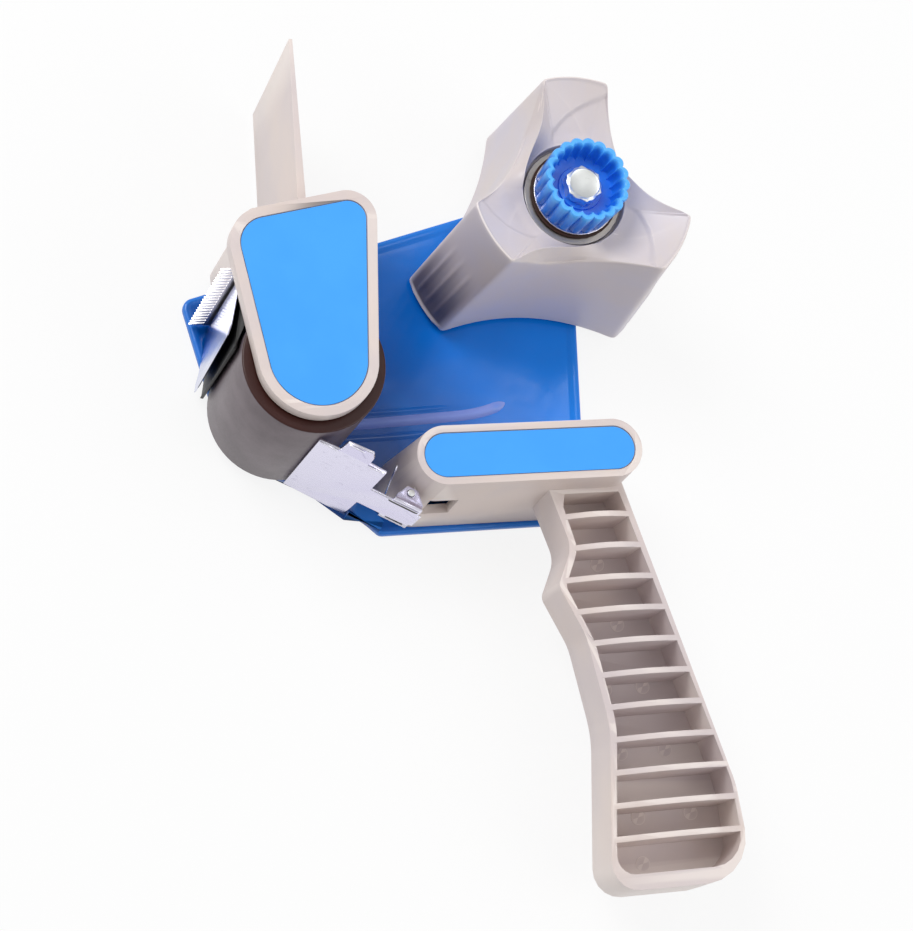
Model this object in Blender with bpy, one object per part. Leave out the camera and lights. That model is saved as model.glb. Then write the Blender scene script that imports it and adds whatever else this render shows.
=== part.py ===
"""Packing tape dispenser of the hand held kind, all its pieces at real size.

It lies on its side plate: the hub's axis is the Z axis, the plate's rim is at
z = 0, the cutting edge and roller are at -X, and the grip hangs towards -Y.
"""
import math

import bmesh
import bpy
from mathutils import Matrix, Vector

# Driving sizes, in metres
TAPE_WIDTH = 0.048
HUB_TIP_RADIUS = 0.038
ROLLER_X = -0.0824
ROLLER_Y = -0.0477
ROLLER_RADIUS = 0.0201
HANDLE_Y = -0.0725
GRIP_LENGTH = 0.1148
SHEET = 0.0012

# Clearances and overruns
SEAT = 0.0003
RUN = 0.0006
SCREW_GAP = 0.0003
OVERRUN = 0.001

# Screws: shank, flat head and how deep they reach
SCREW_RADIUS = 0.0015
SCREW_HEAD_RADIUS = 0.0032
SCREW_HEAD = 0.0009
SCREW_REACH = 0.012
SCREW_BORE = SCREW_RADIUS + SCREW_GAP

# Heights of what the other pieces are stacked on
PLATE_RIM_DROP = 0.0012
PLATE_TOP = PLATE_RIM_DROP + SHEET
ROLLER_SIDE_GAP = 0.0016
ROLLER_LOW = PLATE_TOP + ROLLER_SIDE_GAP
ROLLER_TOP = ROLLER_LOW + TAPE_WIDTH
CHEEK_BACK = ROLLER_TOP + RUN

# Steps round a circle, by its size
COARSE = 16
MEDIUM = 32
FINE = 64


# Collections, finishes and mesh tools

def clear_scene():
    for item in list(bpy.data.objects):
        bpy.data.objects.remove(item, do_unlink=True)


def new_collection(name):
    collection = bpy.data.collections.new(name)
    bpy.context.scene.collection.children.link(collection)
    return collection


def new_finish(name, colour, roughness, metallic=0.0):
    finish = bpy.data.materials.new(name)
    finish.use_nodes = True
    shader = finish.node_tree.nodes["Principled BSDF"]
    shader.inputs["Base Color"].default_value = (*colour, 1.0)
    shader.inputs["Roughness"].default_value = roughness
    shader.inputs["Metallic"].default_value = metallic
    return finish


clear_scene()
PARTS = new_collection("tape_dispenser")
CUTTERS = new_collection("cutters")

PALE_PLASTIC = new_finish("pale_plastic", (0.60, 0.55, 0.53), 0.42)
BLUE_PAINT = new_finish("blue_paint", (0.02, 0.18, 0.60), 0.18)
BLUE_LABEL = new_finish("blue_label", (0.06, 0.38, 0.95), 0.45)
BLUE_PLASTIC = new_finish("blue_plastic", (0.03, 0.26, 0.85), 0.35)
BRIGHT_STEEL = new_finish("bright_steel", (0.78, 0.77, 0.82), 0.16, 1.0)
DULL_STEEL = new_finish("dull_steel", (0.42, 0.40, 0.40), 0.38, 1.0)
ZINC = new_finish("zinc", (0.80, 0.82, 0.80), 0.34, 1.0)
BROWN_FIBRE = new_finish("brown_fibre", (0.06, 0.03, 0.02), 0.75)
BROWN_RUBBER = new_finish("brown_rubber", (0.13, 0.10, 0.10), 0.55)
BLACK_PLASTIC = new_finish("black_plastic", (0.02, 0.02, 0.02), 0.5)


def place(name, mesh, finish):
    """A finished piece under its own name."""
    piece = bpy.data.objects.new(name, mesh)
    piece.data.materials.clear()
    piece.data.materials.append(finish)
    PARTS.objects.link(piece)
    for face in mesh.polygons:
        face.use_smooth = True
    mesh.set_sharp_from_angle(angle=math.radians(30))
    return piece


def helper(mesh):
    """A hidden solid that cuts or joins."""
    solid = bpy.data.objects.new("tool", mesh)
    solid.display_type = "WIRE"
    solid.hide_render = True
    CUTTERS.objects.link(solid)
    return solid


def boolean(piece, mesh, operation):
    step = piece.modifiers.new(operation.lower(), "BOOLEAN")
    step.operation = operation
    step.solver = "EXACT"
    step.object = helper(mesh)


def cut(piece, mesh):
    boolean(piece, mesh, "DIFFERENCE")


def join(piece, mesh):
    boolean(piece, mesh, "UNION")


def mesh_from(maker):
    """A mesh from a function that fills an empty bmesh."""
    grid = bmesh.new()
    maker(grid)
    bmesh.ops.recalc_face_normals(grid, faces=grid.faces[:])
    mesh = bpy.data.meshes.new("solid")
    grid.to_mesh(mesh)
    grid.free()
    return mesh


def drum(x, y, low, high, radius, steps=COARSE):
    """A solid cylinder along Z."""
    def fill(grid):
        middle = Matrix.Translation((x, y, (low + high) / 2))
        bmesh.ops.create_cone(grid, cap_ends=True, segments=steps, radius1=radius,
                              radius2=radius, depth=high - low, matrix=middle)
    return mesh_from(fill)


def lying_drum(x, z, low, high, radius, steps=COARSE):
    """A solid cylinder along Y."""
    mesh = drum(x, -z, low, high, radius, steps)
    mesh.transform(Matrix.Rotation(math.radians(-90), 4, "X"))
    return mesh


def box(low, high):
    """A block between two corners."""
    def fill(grid):
        size = Vector(high) - Vector(low)
        middle = (Vector(high) + Vector(low)) / 2
        shape = Matrix.Translation(middle) @ Matrix.Diagonal((*size, 1.0))
        bmesh.ops.create_cube(grid, size=1.0, matrix=shape)
    return mesh_from(fill)


def loft(rings):
    """A solid skin over rings of points, closed by a face at each end."""
    def fill(grid):
        rows = [[grid.verts.new(point) for point in ring] for ring in rings]
        count = len(rings[0])
        for row, above in zip(rows, rows[1:]):
            for index in range(count):
                after = (index + 1) % count
                grid.faces.new((row[index], row[after], above[after], above[index]))
        grid.faces.new(rows[0][::-1])
        grid.faces.new(rows[-1])
    return mesh_from(fill)


def ring_loft(sections):
    """A closed ring skinned over sections, each a closed loop of points."""
    def fill(grid):
        rows = [[grid.verts.new(point) for point in section] for section in sections]
        count = len(sections[0])
        for number, row in enumerate(rows):
            follower = rows[(number + 1) % len(rows)]
            for index in range(count):
                after = (index + 1) % count
                grid.faces.new((row[index], row[after], follower[after], follower[index]))
    return mesh_from(fill)


def turned(profile, x=0.0, y=0.0, steps=MEDIUM):
    """A round piece with a bore: a closed profile of (radius, height) turned about Z."""
    sections = []
    for step in range(steps):
        turn = 2 * math.pi * step / steps
        across = (math.cos(turn), math.sin(turn))
        sections.append([(x + r * across[0], y + r * across[1], z) for r, z in profile])
    return ring_loft(sections)


def washer(low, high, bore, radius, x=0.0, y=0.0, steps=MEDIUM):
    return turned([(bore, low), (radius, low), (radius, high), (bore, high)], x, y, steps)


def rounded_outline(corners, steps=6):
    """A closed outline from corners (x, y, radius), each radius drawn as an arc."""
    points = []
    for index, (x, y, radius) in enumerate(corners):
        corner = Vector((x, y))
        before = (Vector(corners[index - 1][:2]) - corner).normalized()
        after = (Vector(corners[(index + 1) % len(corners)][:2]) - corner).normalized()
        if radius == 0:
            points.append(tuple(corner))
            continue
        half = before.angle(after) / 2
        centre = corner + (before + after).normalized() * (radius / math.sin(half))
        start = corner + before * (radius / math.tan(half)) - centre
        sweep = start.angle_signed(corner + after * (radius / math.tan(half)) - centre)
        for step in range(steps + 1):
            turn = Matrix.Rotation(-sweep * step / steps, 2)
            points.append(tuple(centre + turn @ start))
    return points


def wrapped_outline(circles, steps=FINE):
    """The outline of a band stretched round circles (x, y, radius)."""
    points = []
    for step in range(steps):
        turn = 2 * math.pi * step / steps
        u, v = math.cos(turn), math.sin(turn)
        x, y, radius = max(circles, key=lambda c: c[0] * u + c[1] * v + c[2])
        points.append((x + radius * u, y + radius * v))
    return points


def shrunk(circles, by):
    return [(x, y, radius - by) for x, y, radius in circles]


def inset(points, distance):
    """An outline moved inwards by a wall's thickness."""
    area = sum(a[0] * b[1] - b[0] * a[1] for a, b in zip(points, points[1:] + points[:1]))
    side = math.copysign(1.0, area)
    moved = []
    for index, point in enumerate(points):
        here = Vector(point)
        arriving = (here - Vector(points[index - 1])).normalized()
        leaving = (Vector(points[(index + 1) % len(points)]) - here).normalized()
        normals = [Vector((-way.y, way.x)) * side for way in (arriving, leaving)]
        reach = distance / (1 + normals[0].dot(normals[1]))
        moved.append(tuple(here + (normals[0] + normals[1]) * reach))
    return moved


def at_height(points, z):
    return [(x, y, z) for x, y in points]


def slab(points, low, high):
    """A flat outline given thickness, drawn as a filled curve."""
    curve = bpy.data.curves.new("outline", "CURVE")
    curve.dimensions = "2D"
    curve.fill_mode = "BOTH"
    curve.extrude = (high - low) / 2
    line = curve.splines.new("POLY")
    line.points.add(len(points) - 1)
    for spot, (x, y) in zip(line.points, points):
        spot.co = (x, y, 0.0, 1.0)
    line.use_cyclic_u = True
    drawn = bpy.data.objects.new("outline", curve)
    drawn.location.z = (high + low) / 2
    return solid_of(drawn)


def tube(points, radius, resolution=1):
    """A round wire along points."""
    curve = bpy.data.curves.new("wire", "CURVE")
    curve.dimensions = "3D"
    curve.bevel_depth = radius
    curve.bevel_resolution = resolution
    curve.use_fill_caps = True
    line = curve.splines.new("POLY")
    line.points.add(len(points) - 1)
    for spot, point in zip(line.points, points):
        spot.co = (*point, 1.0)
    return solid_of(bpy.data.objects.new("wire", curve))


def solid_of(drawn):
    """The closed mesh of a curve object, which is then removed."""
    CUTTERS.objects.link(drawn)
    bpy.context.view_layer.update()
    shown = drawn.evaluated_get(bpy.context.evaluated_depsgraph_get())
    mesh = bpy.data.meshes.new_from_object(shown)
    mesh.transform(drawn.matrix_world)
    bpy.data.objects.remove(drawn, do_unlink=True)
    grid = bmesh.new()
    grid.from_mesh(mesh)
    bmesh.ops.remove_doubles(grid, verts=grid.verts[:], dist=0.00001)
    bmesh.ops.recalc_face_normals(grid, faces=grid.faces[:])
    grid.to_mesh(mesh)
    grid.free()
    return mesh


def coil(x, y, low, high, radius, wire, turns, points_per_turn=10):
    """Points of a helix, from its low end to its high end."""
    count = int(turns * points_per_turn)
    rise = (high - low - 2 * wire) / count
    points = []
    for step in range(count + 1):
        turn = 2 * math.pi * step / points_per_turn
        points.append((x + radius * math.cos(turn), y + radius * math.sin(turn),
                       low + wire + rise * step))
    pitch = rise * points_per_turn
    print("least gap between curls, mm:", round((pitch - 2 * wire) * 1000, 2))
    return points


# Side plate, a pressed steel sheet with its rim turned down
# Shares of the way from the hub to the roller in x, and to the handle in y and radius
PLATE_CORNER_SHARES = (
    (1.290, 0.170, 0.048), (1.181, 0.821, 0.166), (0.766, 1.058, 0.041),
    (0.666, 1.172, 0.034), (-0.108, 1.167, 0.083), (-0.228, -0.306, 0.225))
BEAD_PATH_SHARES = ((0.874, 0.717), (0.655, 0.708), (0.329, 0.697), (0.203, 0.677),
                    (0.130, 0.646))
BEAD_WIDTH = 0.0026
BEAD_RISE = 0.0007

# Nut pressed into the plate, whose flat back shows from behind
NUT_DISC_RADIUS = 0.0070
NUT_DISC = 0.0009
NUT_BARREL_RADIUS = 0.0050
NUT_HEIGHT = 0.012
BOLT_RADIUS = 0.003
BOLT_LOW = 0.004

AXLE_RADIUS = 0.0030
AXLE_HEAD_RADIUS = 0.0060

# Where screws come through the plate
HANDLE_SCREW_XS = (-0.042, -0.018, 0.004)
BLOCK_SCREW_SPOTS = ((-0.0880, -0.0120), (-0.0755, -0.0140))


def make_side_plate():
    corners = [(ROLLER_X * x, HANDLE_Y * y, -HANDLE_Y * r) for x, y, r in PLATE_CORNER_SHARES]
    outline = rounded_outline(corners)
    inner = inset(outline, SHEET)
    pan = loft([at_height(inner, PLATE_RIM_DROP), at_height(inner, 0.0),
                at_height(outline, 0.0), at_height(outline, PLATE_TOP)])
    piece = place("side_plate", pan, BLUE_PAINT)
    bead = [(ROLLER_X * x, HANDLE_Y * y) for x, y in BEAD_PATH_SHARES]
    spine = [(x, y + BEAD_WIDTH / 2) for x, y in bead]
    spine += [(x, y - BEAD_WIDTH / 2) for x, y in reversed(bead)]
    join(piece, slab(spine, PLATE_TOP - SHEET / 2, PLATE_TOP + BEAD_RISE))
    cut(piece, drum(0, 0, -OVERRUN, PLATE_TOP + OVERRUN, NUT_BARREL_RADIUS + SCREW_GAP, MEDIUM))
    cut(piece, drum(ROLLER_X, ROLLER_Y, -OVERRUN, PLATE_TOP + OVERRUN, AXLE_RADIUS + SCREW_GAP))
    spots = [(x, HANDLE_Y) for x in HANDLE_SCREW_XS] + list(BLOCK_SCREW_SPOTS)
    for x, y in spots:
        cut(piece, drum(x, y, -OVERRUN, PLATE_TOP + OVERRUN, SCREW_BORE))


def make_plate_nut():
    piece = place("plate_nut", drum(0, 0, 0.0, NUT_DISC, NUT_DISC_RADIUS, MEDIUM), ZINC)
    join(piece, drum(0, 0, NUT_DISC / 2, NUT_HEIGHT, NUT_BARREL_RADIUS, MEDIUM))
    bore_floor = BOLT_LOW - SEAT
    cut(piece, drum(0, 0, bore_floor, NUT_HEIGHT + OVERRUN, BOLT_RADIUS + SCREW_GAP))


def back_screw(x, y, reach=SCREW_REACH):
    """A flat headed screw put in from behind, its head in the plate's recess."""
    top = PLATE_TOP + reach
    rows = [(SCREW_HEAD_RADIUS, 0.0), (SCREW_HEAD_RADIUS, SCREW_HEAD),
            (SCREW_RADIUS, SCREW_HEAD), (SCREW_RADIUS, top)]
    return stepped_pin(x, y, rows)


def stepped_pin(x, y, rows, steps=COARSE):
    """A solid round pin from rows of (radius, height)."""
    rings = []
    for radius, z in rows:
        turns = [2 * math.pi * step / steps for step in range(steps)]
        rings.append([(x + radius * math.cos(t), y + radius * math.sin(t), z) for t in turns])
    return loft(rings)


# Handle: a hollow foot block and a ribbed pistol grip, moulded as one
BLOCK_HEIGHT = 0.0385
BLOCK_LOW = PLATE_TOP + SEAT
BLOCK_TOP = BLOCK_LOW + BLOCK_HEIGHT
BLOCK_END_XS = (-0.0447, 0.0051)
BLOCK_TOP_RADIUS = 0.0085
BLOCK_BASE_RADIUS = 0.0107
WALL = 0.0026
LABEL_RIM = 0.0020
LABEL_POCKET = 0.0008
LABEL_THICKNESS = 0.0003
BOSS_RADIUS = 0.0040
BOSS_BORE_DEPTH = 0.0145

GRIP_RISE = 0.0125
GRIP_THICKNESS = 0.016
GRIP_FLOOR = 0.003
GRIP_TOP_Y = HANDLE_Y - BLOCK_TOP_RADIUS
GRIP_CORNER_SHARES = (
    (0.086, -0.007, 0.0), (-0.111, -0.007, 0.0), (-0.070, 0.152, 0.078), (-0.117, 0.246, 0.030),
    (-0.064, 0.375, 0.174), (-0.035, 0.601, 0.348), (-0.089, 1.000, 0.065),
    (0.282, 1.001, 0.118), (0.270, 0.767, 0.261))
POCKET_CORNER_SHARES = (
    (0.075, 0.016, 0.005), (-0.069, 0.016, 0.005), (-0.077, 0.048, 0.013),
    (-0.054, 0.157, 0.070), (-0.098, 0.249, 0.022), (-0.043, 0.392, 0.174),
    (-0.017, 0.601, 0.305), (-0.071, 0.962, 0.044), (0.265, 0.962, 0.078), (0.260, 0.758, 0.174))
RIB_COUNT = 11
RIB_FIRST_SHARE = 0.075
RIB_PITCH_SHARE = 0.0801
RIB_THICKNESS = 0.0016
RIB_BULGE = 0.0022
RIB_ROOT = 0.0008

# Slot for the catch spring in the block's lower wall
SLOT_LOW_X = -0.0465
SLOT_LENGTH = 0.0085
SLOT_RISE = 0.0123
SLOT_HEIGHT = 0.0115


def block_outline(radius):
    return wrapped_outline([(x, HANDLE_Y, radius) for x in BLOCK_END_XS])


def grip_outline(corner_shares):
    corners = [(GRIP_LENGTH * x, GRIP_TOP_Y - GRIP_LENGTH * y, GRIP_LENGTH * r)
               for x, y, r in corner_shares]
    return rounded_outline(corners, steps=5)


def span_at(outline, y):
    """The lowest and highest x where an outline crosses a height y."""
    found = []
    for (x0, y0), (x1, y1) in zip(outline, outline[1:] + outline[:1]):
        if (y0 - y) * (y1 - y) < 0:
            found.append(x0 + (x1 - x0) * (y - y0) / (y1 - y0))
    return min(found), max(found)


def rib_mesh(y, low, high, span):
    """One rib across the grip's pocket, its top edge bowed outwards."""
    left, right = span[0] - RIB_ROOT, span[1] + RIB_ROOT
    steps = 6
    section = [(left, low), (right, low)]
    for step in range(steps + 1):
        share = step / steps
        bow = RIB_BULGE * math.sin(math.pi * share)
        section.append((right + (left - right) * share, high + bow))
    sides = [y - RIB_THICKNESS / 2, y + RIB_THICKNESS / 2]
    return loft([[(x, side, z) for x, z in section] for side in sides])


def make_handle():
    low_ring = at_height(block_outline(BLOCK_BASE_RADIUS), BLOCK_LOW)
    top_ring = at_height(block_outline(BLOCK_TOP_RADIUS), BLOCK_TOP)
    piece = place("handle", loft([low_ring, top_ring]), PALE_PLASTIC)
    hollow_top = BLOCK_TOP - LABEL_POCKET - WALL
    inside = [at_height(block_outline(BLOCK_BASE_RADIUS - WALL), BLOCK_LOW - OVERRUN),
              at_height(block_outline(BLOCK_TOP_RADIUS - WALL), hollow_top)]
    cut(piece, loft(inside))
    pocket = block_outline(BLOCK_TOP_RADIUS - LABEL_RIM)
    cut(piece, slab(pocket, BLOCK_TOP - LABEL_POCKET, BLOCK_TOP + OVERRUN))
    slot_low = BLOCK_LOW + SLOT_RISE
    wall_low = HANDLE_Y - BLOCK_BASE_RADIUS - OVERRUN
    cut(piece, box((SLOT_LOW_X, wall_low, slot_low),
                   (SLOT_LOW_X + SLOT_LENGTH, HANDLE_Y - BLOCK_TOP_RADIUS + WALL,
                    slot_low + SLOT_HEIGHT)))
    for x in HANDLE_SCREW_XS:
        join(piece, drum(x, HANDLE_Y, BLOCK_LOW, hollow_top + WALL / 2, BOSS_RADIUS))
    for x in HANDLE_SCREW_XS:
        cut(piece, drum(x, HANDLE_Y, BLOCK_LOW - OVERRUN, BLOCK_LOW + BOSS_BORE_DEPTH, SCREW_BORE))
    grip_low = BLOCK_LOW + GRIP_RISE
    grip_high = grip_low + GRIP_THICKNESS
    join(piece, slab(grip_outline(GRIP_CORNER_SHARES), grip_low, grip_high))
    recess = grip_outline(POCKET_CORNER_SHARES)
    cut(piece, slab(recess, grip_low + GRIP_FLOOR, grip_high + OVERRUN))
    for number in range(RIB_COUNT):
        share = RIB_FIRST_SHARE + RIB_PITCH_SHARE * number
        y = GRIP_TOP_Y - GRIP_LENGTH * share
        join(piece, rib_mesh(y, grip_low + GRIP_FLOOR / 2, grip_high, span_at(recess, y)))
    lug_x, lug_y = catch_point(PIN_ALONG, PIN_OFF)
    join(piece, drum(lug_x, lug_y, LUG_LOW, LUG_LOW + LUG_HEIGHT, LUG_RADIUS))
    reach = Vector((BLOCK_END_XS[0] - lug_x, HANDLE_Y - lug_y)).normalized()
    block_end = Vector((BLOCK_END_XS[0], HANDLE_Y))
    arm_end = block_end - reach * (BLOCK_TOP_RADIUS - WALL / 2)
    across = Vector((-reach.y, reach.x)) * LUG_RADIUS
    start = Vector((lug_x, lug_y))
    arm = [tuple(start - across), tuple(arm_end - across), tuple(arm_end + across),
           tuple(start + across)]
    join(piece, slab(arm, LUG_LOW, LUG_LOW + LUG_HEIGHT))
    cut(piece, drum(lug_x, lug_y, LUG_LOW - OVERRUN, LUG_LOW + LUG_HEIGHT + OVERRUN,
                    PIN_RADIUS + PIN_GAP))


def make_handle_label():
    label = block_outline(BLOCK_TOP_RADIUS - LABEL_RIM - SEAT)
    low = BLOCK_TOP - LABEL_POCKET + SEAT
    place("handle_label", slab(label, low, low + LABEL_THICKNESS), BLUE_LABEL)


def make_handle_screws():
    for number, x in enumerate(HANDLE_SCREW_XS, 1):
        place(f"handle_screw_{number}", back_screw(x, HANDLE_Y), ZINC)


# Front cheek, the moulded cover over the roller's near end
CHEEK_THICKNESS = 0.0045
CHEEK_CIRCLES = ((ROLLER_X, ROLLER_Y, 0.0168), (-0.0693, -0.0080, 0.0080),
                 (-0.0925, -0.0154, 0.0110))
CHEEK_RIM = 0.0028
CHEEK_TOP = CHEEK_BACK + CHEEK_THICKNESS
AXLE_SEAT_SHARE = 0.6
AXLE_TOP = CHEEK_BACK + AXLE_SEAT_SHARE * CHEEK_THICKNESS
CHEEK_SCREW_SINK = 0.0022


def make_front_cheek():
    outline = wrapped_outline(CHEEK_CIRCLES)
    piece = place("front_cheek", slab(outline, CHEEK_BACK, CHEEK_TOP), PALE_PLASTIC)
    recess = wrapped_outline(shrunk(CHEEK_CIRCLES, CHEEK_RIM))
    pocket_floor = CHEEK_TOP - LABEL_POCKET
    cut(piece, slab(recess, pocket_floor, CHEEK_TOP + OVERRUN))
    cut(piece, drum(ROLLER_X, ROLLER_Y, CHEEK_BACK - OVERRUN, AXLE_TOP + SEAT,
                    AXLE_RADIUS + SCREW_GAP))
    for x, y in BLOCK_SCREW_SPOTS:
        cut(piece, drum(x, y, CHEEK_BACK - OVERRUN, pocket_floor + OVERRUN, SCREW_BORE))
        cut(piece, drum(x, y, pocket_floor - CHEEK_SCREW_SINK, pocket_floor + OVERRUN,
                        SCREW_HEAD_RADIUS + SCREW_GAP))


def make_cheek_label():
    label = wrapped_outline(shrunk(CHEEK_CIRCLES, CHEEK_RIM + SEAT))
    low = CHEEK_TOP - LABEL_POCKET + SEAT
    place("cheek_label", slab(label, low, low + LABEL_THICKNESS), BLUE_LABEL)


def make_cheek_screws():
    head_low = CHEEK_TOP - LABEL_POCKET - CHEEK_SCREW_SINK + SEAT
    head_high = CHEEK_TOP - LABEL_POCKET
    rows = [(SCREW_RADIUS, CHEEK_BACK - SCREW_REACH), (SCREW_RADIUS, head_low),
            (SCREW_HEAD_RADIUS, head_low), (SCREW_HEAD_RADIUS, head_high)]
    for number, (x, y) in enumerate(BLOCK_SCREW_SPOTS, 1):
        place(f"cheek_screw_{number}", stepped_pin(x, y, rows), ZINC)


# Front block, which carries the cheek and clamps the flap and the blade
BLOCK_LEFT = -0.0970
BLOCK_RIGHT = -0.0715
BLOCK_BOTTOM = -0.0193
BLOCK_CREST = -0.0030
FRONT_BLOCK_TOP = CHEEK_BACK - SEAT
BLADE_SCREW_X = -0.0945
BLADE_SCREW_ZS = (0.0200, 0.0380)
BLADE_SCREW_REACH = 0.0090

# Flap, a long bevelled plastic finger that smooths the tape down
FLAP_ROOT_X = -0.0809
FLAP_ROOT_Y = -0.0095
FLAP_SIDE_GAP = 0.0011
FLAP_LOW = PLATE_TOP + FLAP_SIDE_GAP
FLAP_TOP = CHEEK_BACK - FLAP_SIDE_GAP
FLAP_LENGTH_NEAR = 0.0572
FLAP_LENGTH_FAR = 0.0548
FLAP_ROOT_THICKNESS = 0.0026
FLAP_TIP_THICKNESS = 0.0010
FLAP_LEAN = 0.045
FLAP_HEEL_RADIUS = 0.0018
FLAP_SWING = math.radians(15)


def make_front_block():
    corners = [(BLOCK_LEFT, BLOCK_BOTTOM, 0), (BLOCK_RIGHT, BLOCK_BOTTOM, 0),
               (BLOCK_RIGHT, BLOCK_CREST, WALL), (BLOCK_LEFT, BLOCK_CREST, WALL)]
    outline = rounded_outline(corners)
    piece = place("front_block", slab(outline, BLOCK_LOW, FRONT_BLOCK_TOP), PALE_PLASTIC)
    heel = FLAP_HEEL_RADIUS + SEAT
    crest = BLOCK_CREST + OVERRUN
    rise = crest - FLAP_ROOT_Y
    left_at_crest = FLAP_ROOT_X - heel
    right_at_crest = FLAP_ROOT_X + heel + rise * math.tan(FLAP_SWING + FLAP_LEAN)
    trough = [(left_at_crest, FLAP_ROOT_Y), (FLAP_ROOT_X + heel, FLAP_ROOT_Y),
              (right_at_crest, crest), (left_at_crest, crest)]
    cut(piece, slab(trough, BLOCK_LOW - OVERRUN, FRONT_BLOCK_TOP + OVERRUN))
    cut(piece, drum(FLAP_ROOT_X, FLAP_ROOT_Y, BLOCK_LOW - OVERRUN, FRONT_BLOCK_TOP + OVERRUN, heel))
    for x, y in BLOCK_SCREW_SPOTS:
        depth = SCREW_REACH + SEAT
        cut(piece, drum(x, y, BLOCK_LOW - OVERRUN, PLATE_TOP + depth, SCREW_BORE))
        cut(piece, drum(x, y, CHEEK_BACK - depth, FRONT_BLOCK_TOP + OVERRUN, SCREW_BORE))
    for z in BLADE_SCREW_ZS:
        cut(piece, lying_drum(BLADE_SCREW_X, z, BLOCK_BOTTOM - OVERRUN,
                              BLOCK_BOTTOM + BLADE_SCREW_REACH + SEAT, SCREW_BORE))


def make_block_screws():
    for number, (x, y) in enumerate(BLOCK_SCREW_SPOTS, 1):
        place(f"block_screw_{number}", back_screw(x, y), ZINC)


def make_flap():
    """Rings of the flap along its length, from the heel to the slanted tip."""
    rings = []
    steps = 8
    for step in range(steps + 1):
        share = step / steps
        half = (FLAP_ROOT_THICKNESS + (FLAP_TIP_THICKNESS - FLAP_ROOT_THICKNESS) * share) / 2
        ring = []
        for side, z, length in ((-1, FLAP_LOW, FLAP_LENGTH_FAR), (1, FLAP_LOW, FLAP_LENGTH_FAR),
                                (1, FLAP_TOP, FLAP_LENGTH_NEAR), (-1, FLAP_TOP, FLAP_LENGTH_NEAR)):
            along = length * share
            ring.append((FLAP_ROOT_X + side * half + along * FLAP_LEAN, FLAP_ROOT_Y + along, z))
        rings.append(ring)
    piece = place("flap", loft(rings), PALE_PLASTIC)
    join(piece, drum(FLAP_ROOT_X, FLAP_ROOT_Y, FLAP_LOW, FLAP_TOP, FLAP_HEEL_RADIUS))


# Toothed blade, its black holder and the bright guard below it
BLADE_THICKNESS = 0.0006
BLADE_TOP = BLOCK_BOTTOM - SEAT
BLADE_LOW = BLADE_TOP - BLADE_THICKNESS
BLADE_BACK = -0.0880
BLADE_BASE = -0.1019
BLADE_TOOTH = 0.0032
BLADE_TEETH = 21
BLADE_SIDE_GAP = 0.0008

HOLDER_TOP = BLADE_LOW - SEAT
HOLDER_FRONT_TOP = (-0.0980, HOLDER_TOP)
HOLDER_FRONT_LOW = (-0.1032, -0.0411)
HOLDER_BACK_X = -0.0900
HOLDER_ROLLER_GAP = 0.0010
HOLDER_TAIL = 0.0010
HOLDER_TAIL_TURN = math.radians(165)
HOLDER_SHORT = 0.0034
HOLDER_HIGH = ROLLER_TOP - HOLDER_SHORT
HEAD_SINK = 0.0036

GUARD_THICKNESS = 0.0008
GUARD_SHARE = 0.78


def make_blade():
    low = ROLLER_LOW - BLADE_SIDE_GAP
    high = ROLLER_TOP - BLADE_SIDE_GAP
    pitch = (high - low) / BLADE_TEETH
    outline = [(BLADE_BACK, low), (BLADE_BACK, high)]
    for tooth in range(BLADE_TEETH):
        top = high - pitch * tooth
        outline += [(BLADE_BASE, top), (BLADE_BASE - BLADE_TOOTH, top - pitch / 2)]
    outline.append((BLADE_BASE, low))
    mesh = slab(outline, BLADE_LOW, BLADE_TOP)
    mesh.transform(Matrix(((1, 0, 0, 0), (0, 0, 1, 0), (0, 1, 0, 0), (0, 0, 0, 1))))
    mesh.flip_normals()
    piece = place("blade", mesh, BRIGHT_STEEL)
    for z in BLADE_SCREW_ZS:
        cut(piece, lying_drum(BLADE_SCREW_X, z, BLADE_LOW - OVERRUN, BLADE_TOP + OVERRUN,
                              SCREW_BORE))


def make_blade_holder():
    radius = ROLLER_RADIUS + HOLDER_ROLLER_GAP
    start = HOLDER_TAIL_TURN
    end = math.acos((HOLDER_BACK_X - ROLLER_X) / radius)
    tail = radius + HOLDER_TAIL
    tail_tip = (ROLLER_X + tail * math.cos(start), ROLLER_Y + tail * math.sin(start))
    outline = [HOLDER_FRONT_TOP, HOLDER_FRONT_LOW, tail_tip]
    steps = 10
    for step in range(steps + 1):
        turn = start + (end - start) * step / steps
        outline.append((ROLLER_X + radius * math.cos(turn), ROLLER_Y + radius * math.sin(turn)))
    outline.append((HOLDER_BACK_X, HOLDER_TOP))
    piece = place("blade_holder", slab(outline, BLOCK_LOW, HOLDER_HIGH), BLACK_PLASTIC)
    for z in BLADE_SCREW_ZS:
        seat = HOLDER_TOP - HEAD_SINK
        cut(piece, lying_drum(BLADE_SCREW_X, z, seat - OVERRUN, HOLDER_TOP + OVERRUN, SCREW_BORE))
        cut(piece, lying_drum(BLADE_SCREW_X, z, ROLLER_Y, seat, SCREW_HEAD_RADIUS + SCREW_GAP))


def make_blade_screws():
    seat = HOLDER_TOP - HEAD_SINK - SEAT
    rows = [(SCREW_HEAD_RADIUS, seat - SCREW_HEAD), (SCREW_HEAD_RADIUS, seat),
            (SCREW_RADIUS, seat), (SCREW_RADIUS, BLOCK_BOTTOM + BLADE_SCREW_REACH)]
    for number, z in enumerate(BLADE_SCREW_ZS, 1):
        mesh = stepped_pin(BLADE_SCREW_X, -z, rows)
        mesh.transform(Matrix.Rotation(math.radians(-90), 4, "X"))
        place(f"blade_screw_{number}", mesh, ZINC)


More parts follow.
